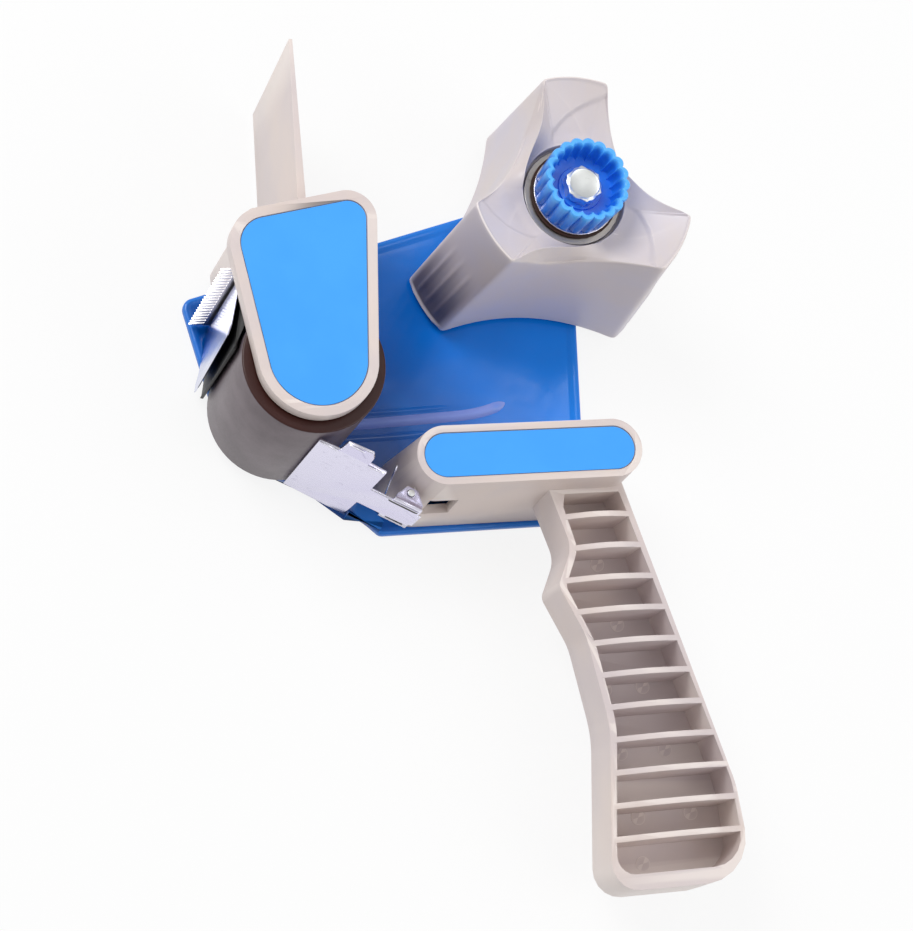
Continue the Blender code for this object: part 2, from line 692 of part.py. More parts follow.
def make_blade_guard():
    """A bright strip on the front of the holder."""
    top = Vector(HOLDER_FRONT_TOP)
    low = top.lerp(Vector(HOLDER_FRONT_LOW), GUARD_SHARE)
    down = (low - top).normalized()
    out = Vector((down.y, -down.x))
    inner = [top + out * SEAT, low + out * SEAT]
    outer = [low + out * (SEAT + GUARD_THICKNESS), top + out * (SEAT + GUARD_THICKNESS)]
    outline = [tuple(point) for point in inner + outer]
    place("blade_guard", slab(outline, BLOCK_LOW, HOLDER_HIGH), BRIGHT_STEEL)


# Rubber roller on its core, bushes and axle
TYRE_THICKNESS = 0.0040
CORE_BORE = 0.0064
AXLE_GAP = 0.0002
BUSH_BORE = AXLE_RADIUS + AXLE_GAP
BUSH_RADIUS = CORE_BORE - SEAT
BUSH_LENGTH = 0.010


def make_roller():
    core_radius = ROLLER_RADIUS - TYRE_THICKNESS - SEAT
    tyre = washer(ROLLER_LOW, ROLLER_TOP, core_radius + SEAT, ROLLER_RADIUS,
                  ROLLER_X, ROLLER_Y, FINE)
    place("roller_tyre", tyre, BROWN_RUBBER)
    core = washer(ROLLER_LOW, ROLLER_TOP, CORE_BORE, core_radius, ROLLER_X, ROLLER_Y)
    place("roller_core", core, BROWN_FIBRE)
    for side, low in (("far", ROLLER_LOW), ("near", ROLLER_TOP - BUSH_LENGTH)):
        bush = washer(low, low + BUSH_LENGTH, BUSH_BORE, BUSH_RADIUS, ROLLER_X, ROLLER_Y)
        place(f"roller_bush_{side}", bush, BLACK_PLASTIC)


def make_roller_axle():
    rows = [(AXLE_HEAD_RADIUS, 0.0), (AXLE_HEAD_RADIUS, SCREW_HEAD), (AXLE_RADIUS, SCREW_HEAD),
            (AXLE_RADIUS, AXLE_TOP)]
    place("roller_axle", stepped_pin(ROLLER_X, ROLLER_Y, rows), ZINC)


# Hub that the tape's core sits on, three arms with dished ends between them
HUB_PLATE_GAP = 0.0017
HUB_LOW = PLATE_TOP + HUB_PLATE_GAP
HUB_HEIGHT = 0.0551
HUB_NEAR_RADIUS = 0.0333
HUB_ARM_TURN = math.radians(205.8)
HUB_TIP_HALF_FAR = math.radians(14.3)
HUB_TIP_HALF_NEAR = math.radians(17.3)
HUB_SADDLE_FAR = 0.0210
HUB_SADDLE_NEAR = 0.0193
HUB_SADDLE_DROP = 0.0120
SADDLE_DIP_SHARES = ((0.0, 0.0), (0.07, 0.27), (0.16, 0.56), (0.26, 0.89), (0.35, 1.0),
                     (0.44, 0.98), (0.6, 0.78), (0.7, 0.63), (0.8, 0.45), (0.9, 0.25), (1.0, 0.0))
HUB_RECESS_RADIUS = 0.0154
HUB_RECESS_DEPTH = 0.0030
HUB_DISH_DEPTH = 0.0080
DISH_PLACE_SHARE = 0.5
DISH_RISE_SHARE = 0.42
HUB_WALL = 0.0025
HUB_SPRING_BORE = 0.0108
HUB_WEB_LOW = 0.0130
HUB_WEB_TOP = 0.0160
HUB_TUBE_RADIUS = 0.0133
TIP_STEPS = 6
SADDLE_STEPS = 16


def star_point(arm, place_share, tip_radius, tip_half, saddle_radius):
    """A point of the three armed outline; the share runs from one tip's middle to the next."""
    turn = HUB_ARM_TURN + arm * math.radians(120)
    tip_share = TIP_STEPS / (TIP_STEPS + SADDLE_STEPS) / 2
    if place_share <= tip_share:
        angle = turn + tip_half * place_share / tip_share
        return tip_radius * math.cos(angle), tip_radius * math.sin(angle)
    if place_share >= 1 - tip_share:
        angle = turn + math.radians(120) - tip_half * (1 - place_share) / tip_share
        return tip_radius * math.cos(angle), tip_radius * math.sin(angle)
    reach = math.radians(60) - tip_half
    half_width = tip_radius * math.sin(reach)
    corner_height = tip_radius * math.cos(reach)
    across = 2 * (place_share - tip_share) / (1 - 2 * tip_share) - 1
    height = saddle_radius + (corner_height - saddle_radius) * across ** 2
    middle = turn + math.radians(60)
    side = half_width * across
    return (height * math.cos(middle) - side * math.sin(middle),
            height * math.sin(middle) + side * math.cos(middle))


def saddle_depth(place_share):
    """How far the near edge dips between two tips, from 0 to 1."""
    tip_share = TIP_STEPS / (TIP_STEPS + SADDLE_STEPS) / 2
    across = (place_share - tip_share) / (1 - 2 * tip_share)
    across = min(max(across, 0.0), 1.0)
    for (start, low), (end, high) in zip(SADDLE_DIP_SHARES, SADDLE_DIP_SHARES[1:]):
        if across <= end:
            return low + (high - low) * (across - start) / (end - start)


def hub_section(arm, place_share):
    """One closed section of the hub, from the axis outwards."""
    top = HUB_LOW + HUB_HEIGHT
    far = Vector(star_point(arm, place_share, HUB_TIP_RADIUS, HUB_TIP_HALF_FAR, HUB_SADDLE_FAR))
    near = Vector(star_point(arm, place_share, HUB_NEAR_RADIUS, HUB_TIP_HALF_NEAR,
                             HUB_SADDLE_NEAR))
    near_z = top - HUB_SADDLE_DROP * saddle_depth(place_share)
    rim_z = top - HUB_DISH_DEPTH
    round_way = near.normalized()

    def on_circle(radius, z):
        return (round_way.x * radius, round_way.y * radius, z)

    far_in = far - far.normalized() * HUB_WALL
    near_in = near - near.normalized() * HUB_WALL
    middle = near.lerp(round_way * HUB_RECESS_RADIUS, DISH_PLACE_SHARE)
    middle_z = rim_z + (near_z - rim_z) * DISH_RISE_SHARE
    roof_z = rim_z - HUB_RECESS_DEPTH - HUB_WALL
    return [
        (*far, HUB_LOW), (*near, near_z), (*middle, middle_z), on_circle(HUB_RECESS_RADIUS, rim_z),
        on_circle(HUB_RECESS_RADIUS, rim_z - HUB_RECESS_DEPTH),
        on_circle(HUB_SPRING_BORE, rim_z - HUB_RECESS_DEPTH),
        on_circle(HUB_SPRING_BORE, HUB_WEB_TOP),
        on_circle(BOLT_RADIUS + RUN, HUB_WEB_TOP), on_circle(BOLT_RADIUS + RUN, HUB_WEB_LOW),
        on_circle(NUT_BARREL_RADIUS + RUN, HUB_WEB_LOW), on_circle(NUT_BARREL_RADIUS + RUN, HUB_LOW),
        on_circle(HUB_TUBE_RADIUS, HUB_LOW), on_circle(HUB_TUBE_RADIUS, roof_z), (*near_in, roof_z),
        (*far_in, HUB_LOW)]


def make_hub():
    sections = []
    steps = TIP_STEPS + SADDLE_STEPS
    for arm in range(3):
        for step in range(steps):
            sections.append(hub_section(arm, step / steps))
    place("hub", ring_loft(sections), PALE_PLASTIC)


# Brake on the hub: spring seat, spring, cup and washers under the knob
REAR_WASHER_RADIUS = 0.0140
REAR_WASHER_THICKNESS = 0.0010
SPRING_SEAT_THICKNESS = 0.0010
SPRING_SEAT_RADIUS = 0.0098
SPRING_WIRE = 0.0008
SPRING_RADIUS = 0.0082
SPRING_TURNS = 7
CUP_RADIUS = 0.0146
CUP_THICKNESS = 0.0012
CUP_SLEEVE_RADIUS = 0.0068
CUP_SLEEVE = 0.0045
FIBRE_RADIUS = 0.0130
FIBRE_THICKNESS = 0.0009
THRUST_RADIUS = 0.01235
THRUST_THICKNESS = 0.0007
BOLT_CLEAR = BOLT_RADIUS + SCREW_GAP

RECESS_FLOOR = HUB_LOW + HUB_HEIGHT - HUB_DISH_DEPTH - HUB_RECESS_DEPTH
CUP_LOW = RECESS_FLOOR + SEAT
FIBRE_LOW = CUP_LOW + CUP_THICKNESS + SEAT
THRUST_LOW = FIBRE_LOW + FIBRE_THICKNESS + SEAT
KNOB_LOW = THRUST_LOW + THRUST_THICKNESS + SEAT


def make_brake():
    low = PLATE_TOP + SEAT
    bore = NUT_BARREL_RADIUS + RUN
    place("rear_friction_washer",
          washer(low, low + REAR_WASHER_THICKNESS, bore, REAR_WASHER_RADIUS), BROWN_FIBRE)
    seat_low = HUB_WEB_TOP + SEAT
    seat_top = seat_low + SPRING_SEAT_THICKNESS
    place("spring_seat", washer(seat_low, seat_top, BOLT_RADIUS + RUN, SPRING_SEAT_RADIUS),
          DULL_STEEL)
    path = coil(0, 0, seat_top + SEAT, CUP_LOW - SEAT, SPRING_RADIUS, SPRING_WIRE, SPRING_TURNS)
    place("brake_spring", tube(path, SPRING_WIRE), DULL_STEEL)
    cup_top = CUP_LOW + CUP_THICKNESS
    profile = [(BOLT_CLEAR, CUP_LOW - CUP_SLEEVE), (CUP_SLEEVE_RADIUS, CUP_LOW - CUP_SLEEVE),
               (CUP_SLEEVE_RADIUS, CUP_LOW), (CUP_RADIUS, CUP_LOW), (CUP_RADIUS, cup_top),
               (BOLT_CLEAR, cup_top)]
    place("spring_cup", turned(profile), DULL_STEEL)
    place("fibre_washer",
          washer(FIBRE_LOW, FIBRE_LOW + FIBRE_THICKNESS, BOLT_CLEAR, FIBRE_RADIUS), BROWN_FIBRE)
    place("thrust_washer",
          washer(THRUST_LOW, THRUST_LOW + THRUST_THICKNESS, BOLT_CLEAR, THRUST_RADIUS),
          BRIGHT_STEEL)


# Fluted knob and the hexagon bolt that it turns
KNOB_HEIGHT = 0.0114
KNOB_RADIUS = 0.0127
KNOB_BASE_RADIUS = 0.0122
KNOB_WALL = 0.0020
KNOB_FLOOR = 0.0034
KNOB_FLUTES = 20
KNOB_FLUTE_DEPTH = 0.0007
KNOB_POINTS = 5
BOLT_HEAD = 0.0040
BOLT_HEAD_RADIUS = 0.0056


def make_knob():
    sections = []
    count = KNOB_FLUTES * KNOB_POINTS
    top = KNOB_LOW + KNOB_HEIGHT
    floor = KNOB_LOW + KNOB_FLOOR
    for step in range(count):
        turn = 2 * math.pi * step / count
        dent = KNOB_FLUTE_DEPTH * abs(math.sin(KNOB_FLUTES * turn / 2))
        across = Vector((math.cos(turn), math.sin(turn)))
        rim = KNOB_RADIUS - KNOB_FLUTE_DEPTH + dent
        base = KNOB_BASE_RADIUS - KNOB_FLUTE_DEPTH + dent
        profile = [(BOLT_CLEAR, KNOB_LOW), (base, KNOB_LOW), (rim, top), (rim - KNOB_WALL, top),
                   (base - KNOB_WALL, floor), (BOLT_CLEAR, floor)]
        sections.append([(across.x * radius, across.y * radius, z) for radius, z in profile])
    place("knob", ring_loft(sections), BLUE_PLASTIC)


def make_hub_bolt():
    head_low = KNOB_LOW + KNOB_FLOOR + SEAT
    piece = place("hub_bolt", drum(0, 0, head_low, head_low + BOLT_HEAD, BOLT_HEAD_RADIUS, 6),
                  ZINC)
    join(piece, drum(0, 0, BOLT_LOW, head_low + BOLT_HEAD / 2, BOLT_RADIUS))


# Retainer, the sprung steel catch that keeps the tape's end on the roller
CATCH_START = (-0.0823, -0.0684)
CATCH_WAY = (0.869, -0.495)
CATCH_THICKNESS = 0.0008
CATCH_PLATE_SHARES = (
    (1.020, 0.620), (1.020, 0.950), (0.750, 0.965), (0.750, 1.068), (0.700, 1.134),
    (0.330, 1.114), (0.310, 0.962), (0.0, 0.960), (0.0, 0.087), (0.960, 0.062),
    (0.985, 0.160), (1.000, 0.346))
CATCH_LENGTH = 0.0200
CATCH_HEIGHT = 0.0500
PIN_ALONG = 0.0310
PIN_OFF = 0.0034
EAR_LENGTH = 0.0080
EAR_PIN_SHARE = 0.44
EAR_ALONG = PIN_ALONG - EAR_PIN_SHARE * EAR_LENGTH
EAR_THICKNESS = 0.0010
EAR_MARGIN = 0.0003
TAIL_LENGTH = 0.0010
TAIL_LOW = 0.0190
TAIL_TOP = 0.0280
EAR_ZS = (0.0155, 0.0316)
EAR_REACH = 0.0032
PIN_RADIUS = 0.0010
PIN_GAP = 0.0002
LUG_RADIUS = 0.0021
LUG_LOW = 0.0200
LUG_HEIGHT = 0.0070
CATCH_SPRING_WIRE = 0.0003
CATCH_SPRING_RADIUS = 0.0017
CATCH_SPRING_TURNS = 3
SPRING_LEG = 0.0060


def catch_point(along, off):
    """A place beside the catch, along its sheet and off it towards the block."""
    way = Vector(CATCH_WAY).normalized()
    side = Vector((-way.y, way.x))
    return tuple(Vector(CATCH_START) + way * along + side * off)


def upright(mesh):
    """Turns a flat drawing of (along, height) to stand on the catch's line."""
    way = Vector(CATCH_WAY).normalized()
    stand = Matrix(((way.x, 0, -way.y, CATCH_START[0]), (way.y, 0, way.x, CATCH_START[1]),
                    (0, 1, 0, 0), (0, 0, 0, 1)))
    mesh.transform(stand)
    mesh.flip_normals()
    return mesh


def make_retainer():
    half = CATCH_THICKNESS / 2
    outline = [(CATCH_LENGTH * a, CATCH_HEIGHT * h) for a, h in CATCH_PLATE_SHARES]
    neck_top, neck_low = outline[0][1], outline[-1][1]
    web_low = EAR_ZS[0] - EAR_MARGIN
    web_high = EAR_ZS[1] + EAR_THICKNESS + EAR_MARGIN
    web_start = EAR_ALONG - EAR_MARGIN
    web_end = EAR_ALONG + EAR_LENGTH + EAR_MARGIN
    tail_end = web_end + TAIL_LENGTH
    outline += [(web_start, neck_low), (web_start, web_low), (web_end, web_low),
                (web_end, TAIL_LOW), (tail_end, TAIL_LOW), (tail_end, TAIL_TOP),
                (web_end, TAIL_TOP), (web_end, web_high), (web_start, web_high),
                (web_start, neck_top)]
    piece = place("retainer_plate", upright(slab(outline, -half, half)), BRIGHT_STEEL)
    pin_x, pin_y = catch_point(PIN_ALONG, PIN_OFF)
    ear = [catch_point(EAR_ALONG, 0), catch_point(EAR_ALONG + EAR_LENGTH, 0),
           catch_point(EAR_ALONG + EAR_LENGTH, EAR_REACH / 2),
           catch_point(PIN_ALONG + EAR_REACH / 2, PIN_OFF + EAR_REACH / 2),
           catch_point(PIN_ALONG - EAR_REACH / 2, PIN_OFF + EAR_REACH / 2),
           catch_point(EAR_ALONG, EAR_REACH / 2)]
    for z in EAR_ZS:
        join(piece, slab(ear, z, z + EAR_THICKNESS))
    cut(piece, drum(pin_x, pin_y, web_low - OVERRUN, web_high + OVERRUN, PIN_RADIUS + PIN_GAP))


def make_retainer_pin():
    x, y = catch_point(PIN_ALONG, PIN_OFF)
    low = EAR_ZS[0] - EAR_THICKNESS / 2
    high = EAR_ZS[1] + EAR_THICKNESS + EAR_THICKNESS / 2
    place("retainer_pin", drum(x, y, low, high, PIN_RADIUS), ZINC)


def make_retainer_spring():
    x, y = catch_point(PIN_ALONG, PIN_OFF)
    low = LUG_LOW + LUG_HEIGHT + SEAT
    high = EAR_ZS[1] - SEAT
    path = coil(x, y, low, high, CATCH_SPRING_RADIUS, CATCH_SPRING_WIRE, CATCH_SPRING_TURNS)
    first, last = Vector(path[0]), Vector(path[-1])
    down = Vector((0.0, -SPRING_LEG / 3, 0.0))
    path = [tuple(first + down)] + path + [tuple(last - down)]
    place("retainer_spring", tube(path, CATCH_SPRING_WIRE), DULL_STEEL)


make_side_plate()
make_plate_nut()
make_handle()
make_handle_label()
make_handle_screws()
make_front_cheek()
make_cheek_label()
make_cheek_screws()
make_front_block()
make_block_screws()
make_flap()
make_blade()
make_blade_holder()
make_blade_screws()
make_blade_guard()
make_roller()
make_roller_axle()
make_hub()
make_brake()
make_knob()
make_hub_bolt()
make_retainer()
make_retainer_pin()
make_retainer_spring()
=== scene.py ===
import math

import bmesh
import bpy
import numpy as np
from mathutils import Matrix, Vector


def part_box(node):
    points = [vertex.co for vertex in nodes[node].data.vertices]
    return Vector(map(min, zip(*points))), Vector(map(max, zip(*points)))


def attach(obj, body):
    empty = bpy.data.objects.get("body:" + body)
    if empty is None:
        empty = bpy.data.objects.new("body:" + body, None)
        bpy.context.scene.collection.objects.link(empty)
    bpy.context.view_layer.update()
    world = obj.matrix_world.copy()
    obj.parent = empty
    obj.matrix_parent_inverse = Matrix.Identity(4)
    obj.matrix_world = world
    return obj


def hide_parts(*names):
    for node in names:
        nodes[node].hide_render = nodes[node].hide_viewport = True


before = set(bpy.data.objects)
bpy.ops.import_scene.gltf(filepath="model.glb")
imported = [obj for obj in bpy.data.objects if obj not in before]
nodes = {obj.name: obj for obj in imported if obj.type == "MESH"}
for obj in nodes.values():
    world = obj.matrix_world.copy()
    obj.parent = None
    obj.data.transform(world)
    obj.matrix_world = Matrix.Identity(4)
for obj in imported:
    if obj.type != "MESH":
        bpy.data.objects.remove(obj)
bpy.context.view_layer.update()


# Camera: up and to the left of the dispenser, looking down on it through a long
# lens, so that the roller's side leans away.
camera_lens, camera_sensor, camera_near = 100.487, 36.0, 0.01
camera_place = Vector((-0.26504, -0.25262, 0.70281))
camera_data = bpy.data.cameras.new("camera")
camera_data.lens = camera_lens
camera_data.sensor_width = camera_sensor
camera_data.clip_start = camera_near
camera = bpy.data.objects.new("camera", camera_data)
bpy.context.scene.collection.objects.link(camera)
camera_right = Vector((0.94996, -0.12445, 0.28652))
camera_up = Vector((0.04394, 0.96133, 0.27188))
camera_back = camera_right.cross(camera_up)
camera.matrix_world = Matrix((
    (camera_right.x, camera_up.x, camera_back.x, camera_place.x),
    (camera_right.y, camera_up.y, camera_back.y, camera_place.y),
    (camera_right.z, camera_up.z, camera_back.z, camera_place.z),
    (0.0, 0.0, 0.0, 1.0)))
bpy.context.scene.camera = camera
bpy.context.scene.view_settings.view_transform = "Standard"


# Handle: one moulding of warm pale grey plastic, a hollow block on the plate
# and a ribbed grip. The mould leaves a fine spark-eroded grain, faint clouds,
# and the round marks of its ejector pins on the grip's floors. Its edges are
# painted paler as a highlight.
class Feed:
    """One node output that adds up like a number."""

    def __init__(self, finish, socket):
        self.finish = finish
        self.socket = socket

    def sum(self, operation, *values):
        sockets = dict(enumerate((self, *values)))
        return self.finish.node("ShaderNodeMath", {"operation": operation}, sockets)

    def __add__(self, other):
        return self.sum("ADD", other)

    def __radd__(self, other):
        return self.sum("ADD", other)

    def __mul__(self, other):
        return self.sum("MULTIPLY", other)

    def __rmul__(self, other):
        return self.sum("MULTIPLY", other)

    def clamped(self):
        return self.finish.node("ShaderNodeClamp", {}, {0: self})


class Finish:
    """One material, made of a Principled shader and the nodes that feed it."""

    def __init__(self, name, **constants):
        self.material = bpy.data.materials.new(name)
        self.material.use_nodes = True
        self.tree = self.material.node_tree
        self.shader = self.tree.nodes["Principled BSDF"]
        self.out = self.tree.nodes["Material Output"]
        for socket, value in constants.items():
            self.shader.inputs[socket.replace("_", " ")].default_value = value

    def node(self, kind, settings, sockets, output=0):
        made = self.tree.nodes.new(kind)
        for name, value in settings.items():
            setattr(made, name, value)
        for name, value in sockets.items():
            self.join(value, made.inputs[name])
        return Feed(self, made.outputs[output])

    def join(self, value, socket):
        if isinstance(value, Feed):
            self.tree.links.new(value.socket, socket)
        else:
            socket.default_value = value

    def set(self, socket, value):
        self.join(value, self.shader.inputs[socket])

    def place(self):
        """The spot on the real piece, in metres."""
        return self.node("ShaderNodeTexCoord", {}, {}, "Object")

    def along(self, x, y, z=0.0):
        """How far the spot lies along a direction, in metres."""
        return self.node("ShaderNodeVectorMath", {"operation": "DOT_PRODUCT"},
                         {0: self.place(), 1: (x, y, z)}, "Value")

    def noise(self, scale, detail=3.0, roughness=0.55, vector=None, distortion=0.0):
        return self.node("ShaderNodeTexNoise", {}, {
            "Vector": vector or self.place(), "Scale": scale, "Detail": detail,
            "Roughness": roughness, "Distortion": distortion})

    def stretched(self, x, y, z):
        """The spot, with its axes scaled for a grain that runs one way."""
        return self.node("ShaderNodeMapping", {}, {"Vector": self.place(), "Scale": (x, y, z)})

    def ramp(self, feed, start, end, low=0.0, high=1.0):
        """A feed stretched from start..end to low..high, held at both ends."""
        return self.node("ShaderNodeMapRange", {"interpolation_type": "SMOOTHSTEP"}, {
            "Value": feed, "From Min": start, "From Max": end, "To Min": low, "To Max": high})

    def blend(self, share, first, second):
        """Two colours mixed by a share."""
        return self.node("ShaderNodeMix", {"data_type": "RGBA"}, {0: share, 6: first, 7: second}, 2)

    def bump(self, height, strength, distance):
        self.set("Normal", self.node("ShaderNodeBump", {}, {
            "Height": height, "Strength": strength, "Distance": distance}))

    def edges(self, start=0.51, end=0.56):
        """A mask that is 1 on outer edges and 0 on flats."""
        pointed = self.node("ShaderNodeNewGeometry", {}, {}, "Pointiness")
        return self.ramp(pointed, start, end)


def srgb(red, green, blue):
    """A screen colour of 0 to 255 as the linear colour that a shader takes."""
    linear = []
    for value in (red, green, blue):
        share = value / 255
        linear.append(share / 12.92 if share <= 0.04045 else ((share + 0.055) / 1.055) ** 2.4)
    return (*linear, 1.0)


def moulded_plastic(name, warm, cool, edge):
    """Pale plastic, its edges painted paler as a highlight; a piece can still add its own marks to
    its colour.
    """
    finish = Finish(name, Specular_IOR_Level=0.5)
    cloud = finish.noise(scale=24.0, detail=4.0)
    fine = finish.noise(scale=2600.0, detail=2.0)
    streak = finish.noise(scale=1.0, detail=3.0, vector=finish.stretched(160.0, 18.0, 60.0))
    base = finish.blend(finish.ramp(cloud, 0.35, 0.68), warm, cool)
    base = finish.blend(finish.ramp(streak, 0.45, 0.8, 0.0, 0.35), base, cool)
    # Painted highlight: outer edges are lightened towards the edge colour.
    finish.colour = finish.blend(finish.edges() * 0.6, base, edge)
    finish.set("Base Color", finish.colour)
    finish.set("Roughness", 0.3 + 0.16 * fine + 0.06 * cloud)
    finish.bump(fine + 0.4 * streak, strength=0.22, distance=0.00002)
    return finish


pale_plastic = moulded_plastic("pale_plastic", srgb(217, 202, 195), srgb(208, 196, 196),
                               srgb(240, 230, 224)).material


def give(name, material):
    """Puts one material on a piece of the construction."""
    piece = nodes[name]
    piece.data.materials.clear()
    piece.data.materials.append(material)
    return piece


weld_distance = 0.00001
edge_segments, edge_angle = 3, math.radians(35)
sharp_angle = math.radians(38)


def soften(piece, width):
    """Rounds a piece's sharp edges and shades the rest smooth."""
    weld = piece.modifiers.new("weld", "WELD")
    weld.merge_threshold = weld_distance
    bevel = piece.modifiers.new("edges", "BEVEL")
    bevel.width = width
    bevel.segments = edge_segments
    bevel.limit_method = "ANGLE"
    bevel.angle_limit = edge_angle
    bevel.use_clamp_overlap = True
    piece.data.shade_smooth()
    piece.data.set_sharp_from_angle(angle=sharp_angle)
    return piece


def added_piece(name, points, faces, material, body="frame"):
    """A piece made here, smooth shaded, which moves with a body."""
    mesh = bpy.data.meshes.new(name)
    mesh.from_pydata([tuple(point) for point in points], [], faces)
    grid = bmesh.new()
    grid.from_mesh(mesh)
    bmesh.ops.recalc_face_normals(grid, faces=grid.faces[:])
    grid.to_mesh(mesh)
    grid.free()
    mesh.materials.append(material)
    mesh.shade_smooth()
    mesh.set_sharp_from_angle(angle=sharp_angle)
    made = bpy.data.objects.new(name, mesh)
    bpy.context.scene.collection.objects.link(made)
    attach(made, body)
    return made


def skinned(rings, closed_rings=True, round_trip=False):
    """Points and faces of a skin over rings that have the same number of points."""
    count = len(rings[0])
    points = [point for ring in rings for point in ring]
    faces = []
    last = len(rings) if round_trip else len(rings) - 1
    for row in range(last):
        after_row = (row + 1) % len(rings)
        for index in range(count if closed_rings else count - 1):
            after = (index + 1) % count
            faces.append((row * count + index, row * count + after,
                          after_row * count + after, after_row * count + index))
    if closed_rings and not round_trip:
        faces.append(tuple(range(count)))
        faces.append(tuple((len(rings) - 1) * count + index for index in range(count)))
    return points, faces


def round_turns(count):
    """Angles spread evenly round a circle."""
    return np.linspace(0, 2 * math.pi, count, endpoint=False)


handle_edge = 0.0009
soften(give("handle", pale_plastic), handle_edge)

grip_floor = 0.0182
pin_mark_height, pin_mark_centre = 0.00012, 0.00001
pin_mark_points = 28
pin_mark_profile = ((0.0, -0.1), (0.0021, -0.1), (0.0021, 0.9), (0.0019, 1.0), (0.0, 0.7))
pin_mark_spots = ((0.0040, -0.1010), (0.0075, -0.1190), (0.0010, -0.1375),
                  (0.0125, -0.1375), (0.0030, -0.1560), (0.0165, -0.1560),
                  (0.0055, -0.1745), (0.0215, -0.1745), (0.0050, -0.1875))
for number, (x, y) in enumerate(pin_mark_spots):
    rings = []
    for radius, lift in pin_mark_profile:
        radius = max(radius, pin_mark_centre)
        rings.append([(x + radius * math.cos(turn), y + radius * math.sin(turn),
                       grip_floor + lift * pin_mark_height)
                      for turn in round_turns(pin_mark_points)])
    added_piece(f"ejector_mark_{number + 1}", *skinned(rings), pale_plastic)


# Hub: three hollow arms round a recess, moulded in the same plastic. Each arm is
# a dished spoon that stands over the next one at a crest, with a low step across
# it and ribs down its tip. Painted shade darkens the lower part of one tip's
# outer face.
hub_low, hub_top, hub_ceiling = 0.0041, 0.0592, 0.0440
recess_radius, recess_rim = 0.0154, 0.0512
far_tip_radius, far_saddle_radius = 0.038, 0.021
near_tip_radius, near_saddle_radius = 0.0333, 0.0193
far_tip_half, near_tip_half = math.radians(14.3), math.radians(17.3)
half_spacing = math.radians(60)
tip_stations, saddle_stations = 40, 60
hub_arm_turn = math.radians(205.8)


def star_outline(tip_radius, tip_half, saddle_radius):
    """The three armed outline, its corners softened."""
    reach = half_spacing - tip_half
    half_width, corner_height = tip_radius * math.sin(reach), tip_radius * math.cos(reach)
    points = []
    for arm in range(3):
        turn = hub_arm_turn + 2 * half_spacing * arm
        for angle in np.linspace(-tip_half, tip_half, tip_stations, endpoint=False):
            points.append((tip_radius * math.cos(turn + angle),
                           tip_radius * math.sin(turn + angle)))
        middle = turn + half_spacing
        for across in np.linspace(-1, 1, saddle_stations, endpoint=False):
            height = saddle_radius + (corner_height - saddle_radius) * across ** 2
            side = half_width * across
            points.append((height * math.cos(middle) - side * math.sin(middle),
                           height * math.sin(middle) + side * math.cos(middle)))
    return softened_loop(np.array(points), 4)


def softened_loop(values, times):
    """A closed row of values, each drawn towards its neighbours."""
    for _ in range(times):
        values = (np.roll(values, 1, axis=0) + 2 * values + np.roll(values, -1, axis=0)) / 4
    return values


def smooth_share(value):
    """A share held to 0..1 that starts and ends gently."""
    value = min(max(value, 0.0), 1.0)
    return value * value * (3 - 2 * value)


dip_shares = (0, 0.07, 0.16, 0.26, 0.35, 0.44, 0.6, 0.7, 0.8, 0.9, 1)
dip_heights_mm = (59.2, 56.0, 52.6, 48.5, 47.2, 47.4, 49.8, 51.6, 53.8, 56.2, 59.2)


def hub_edge_heights():
    """Height of the wall's near edge at each station: level on tips, dipping between them."""
    places = np.arange(saddle_stations) / saddle_stations
    dip = np.interp(places, dip_shares, dip_heights_mm) / 1000
    one_arm = np.concatenate((np.full(tip_stations, hub_top), dip))
    return softened_loop(np.tile(one_arm, 3), 3)


bowl_curve = 1.3
crest_off_recess, crest_off_tip, crest_off_saddle = 0.0002, 0.0009, 0.0007
crest_sweep = math.acos(recess_radius / near_tip_radius)


def hub_face(radius, edge_radius, edge_height, station):
    """Height of the near face at a radius, at one station round the hub."""
    crest_radius, crest_height, fall = crest_at(station, edge_radius)
    if radius <= crest_radius:
        share = (radius - recess_radius) / (crest_radius - recess_radius)
        height = recess_rim + (crest_height - recess_rim) * share ** bowl_curve
    else:
        share = (radius - crest_radius) / (edge_radius - crest_radius)
        height = crest_height - (crest_height - edge_height) * share ** fall
    return height - arm_step(radius, station)


def crest_at(station, edge_radius):
    """The crest's radius and height, and how its outer side falls."""
    if station < tip_stations:
        grown = station / tip_stations
        span = edge_radius - recess_radius - crest_off_tip
        radius = recess_radius + crest_off_recess + span * grown
        height = recess_rim + (hub_top - recess_rim) * (
            (radius - recess_radius) / (edge_radius - recess_radius)) ** bowl_curve
        return radius, height, 1.0 + 0.3 * (1 - grown)
    share = (station - tip_stations) / saddle_stations
    turned = near_tip_half + share * 2 * (half_spacing - near_tip_half)
    ahead = max(near_tip_half + crest_sweep - turned, 0.0)
    radius = min(recess_radius / math.cos(ahead), edge_radius - crest_off_saddle)
    way_up = math.tan(ahead) / math.tan(crest_sweep)
    height = recess_rim + (hub_top - recess_rim) * way_up ** 0.9
    fall = 0.5 + 0.8 * smooth_share(share / 0.7)
    return max(radius, recess_radius + crest_off_recess), height, fall


step_depth, step_radius, step_width, step_start = 0.0006, 0.0242, 0.0007, 0.004
step_slant_per_degree = 0.0003
saddle_degrees = math.degrees(2 * (half_spacing - near_tip_half))


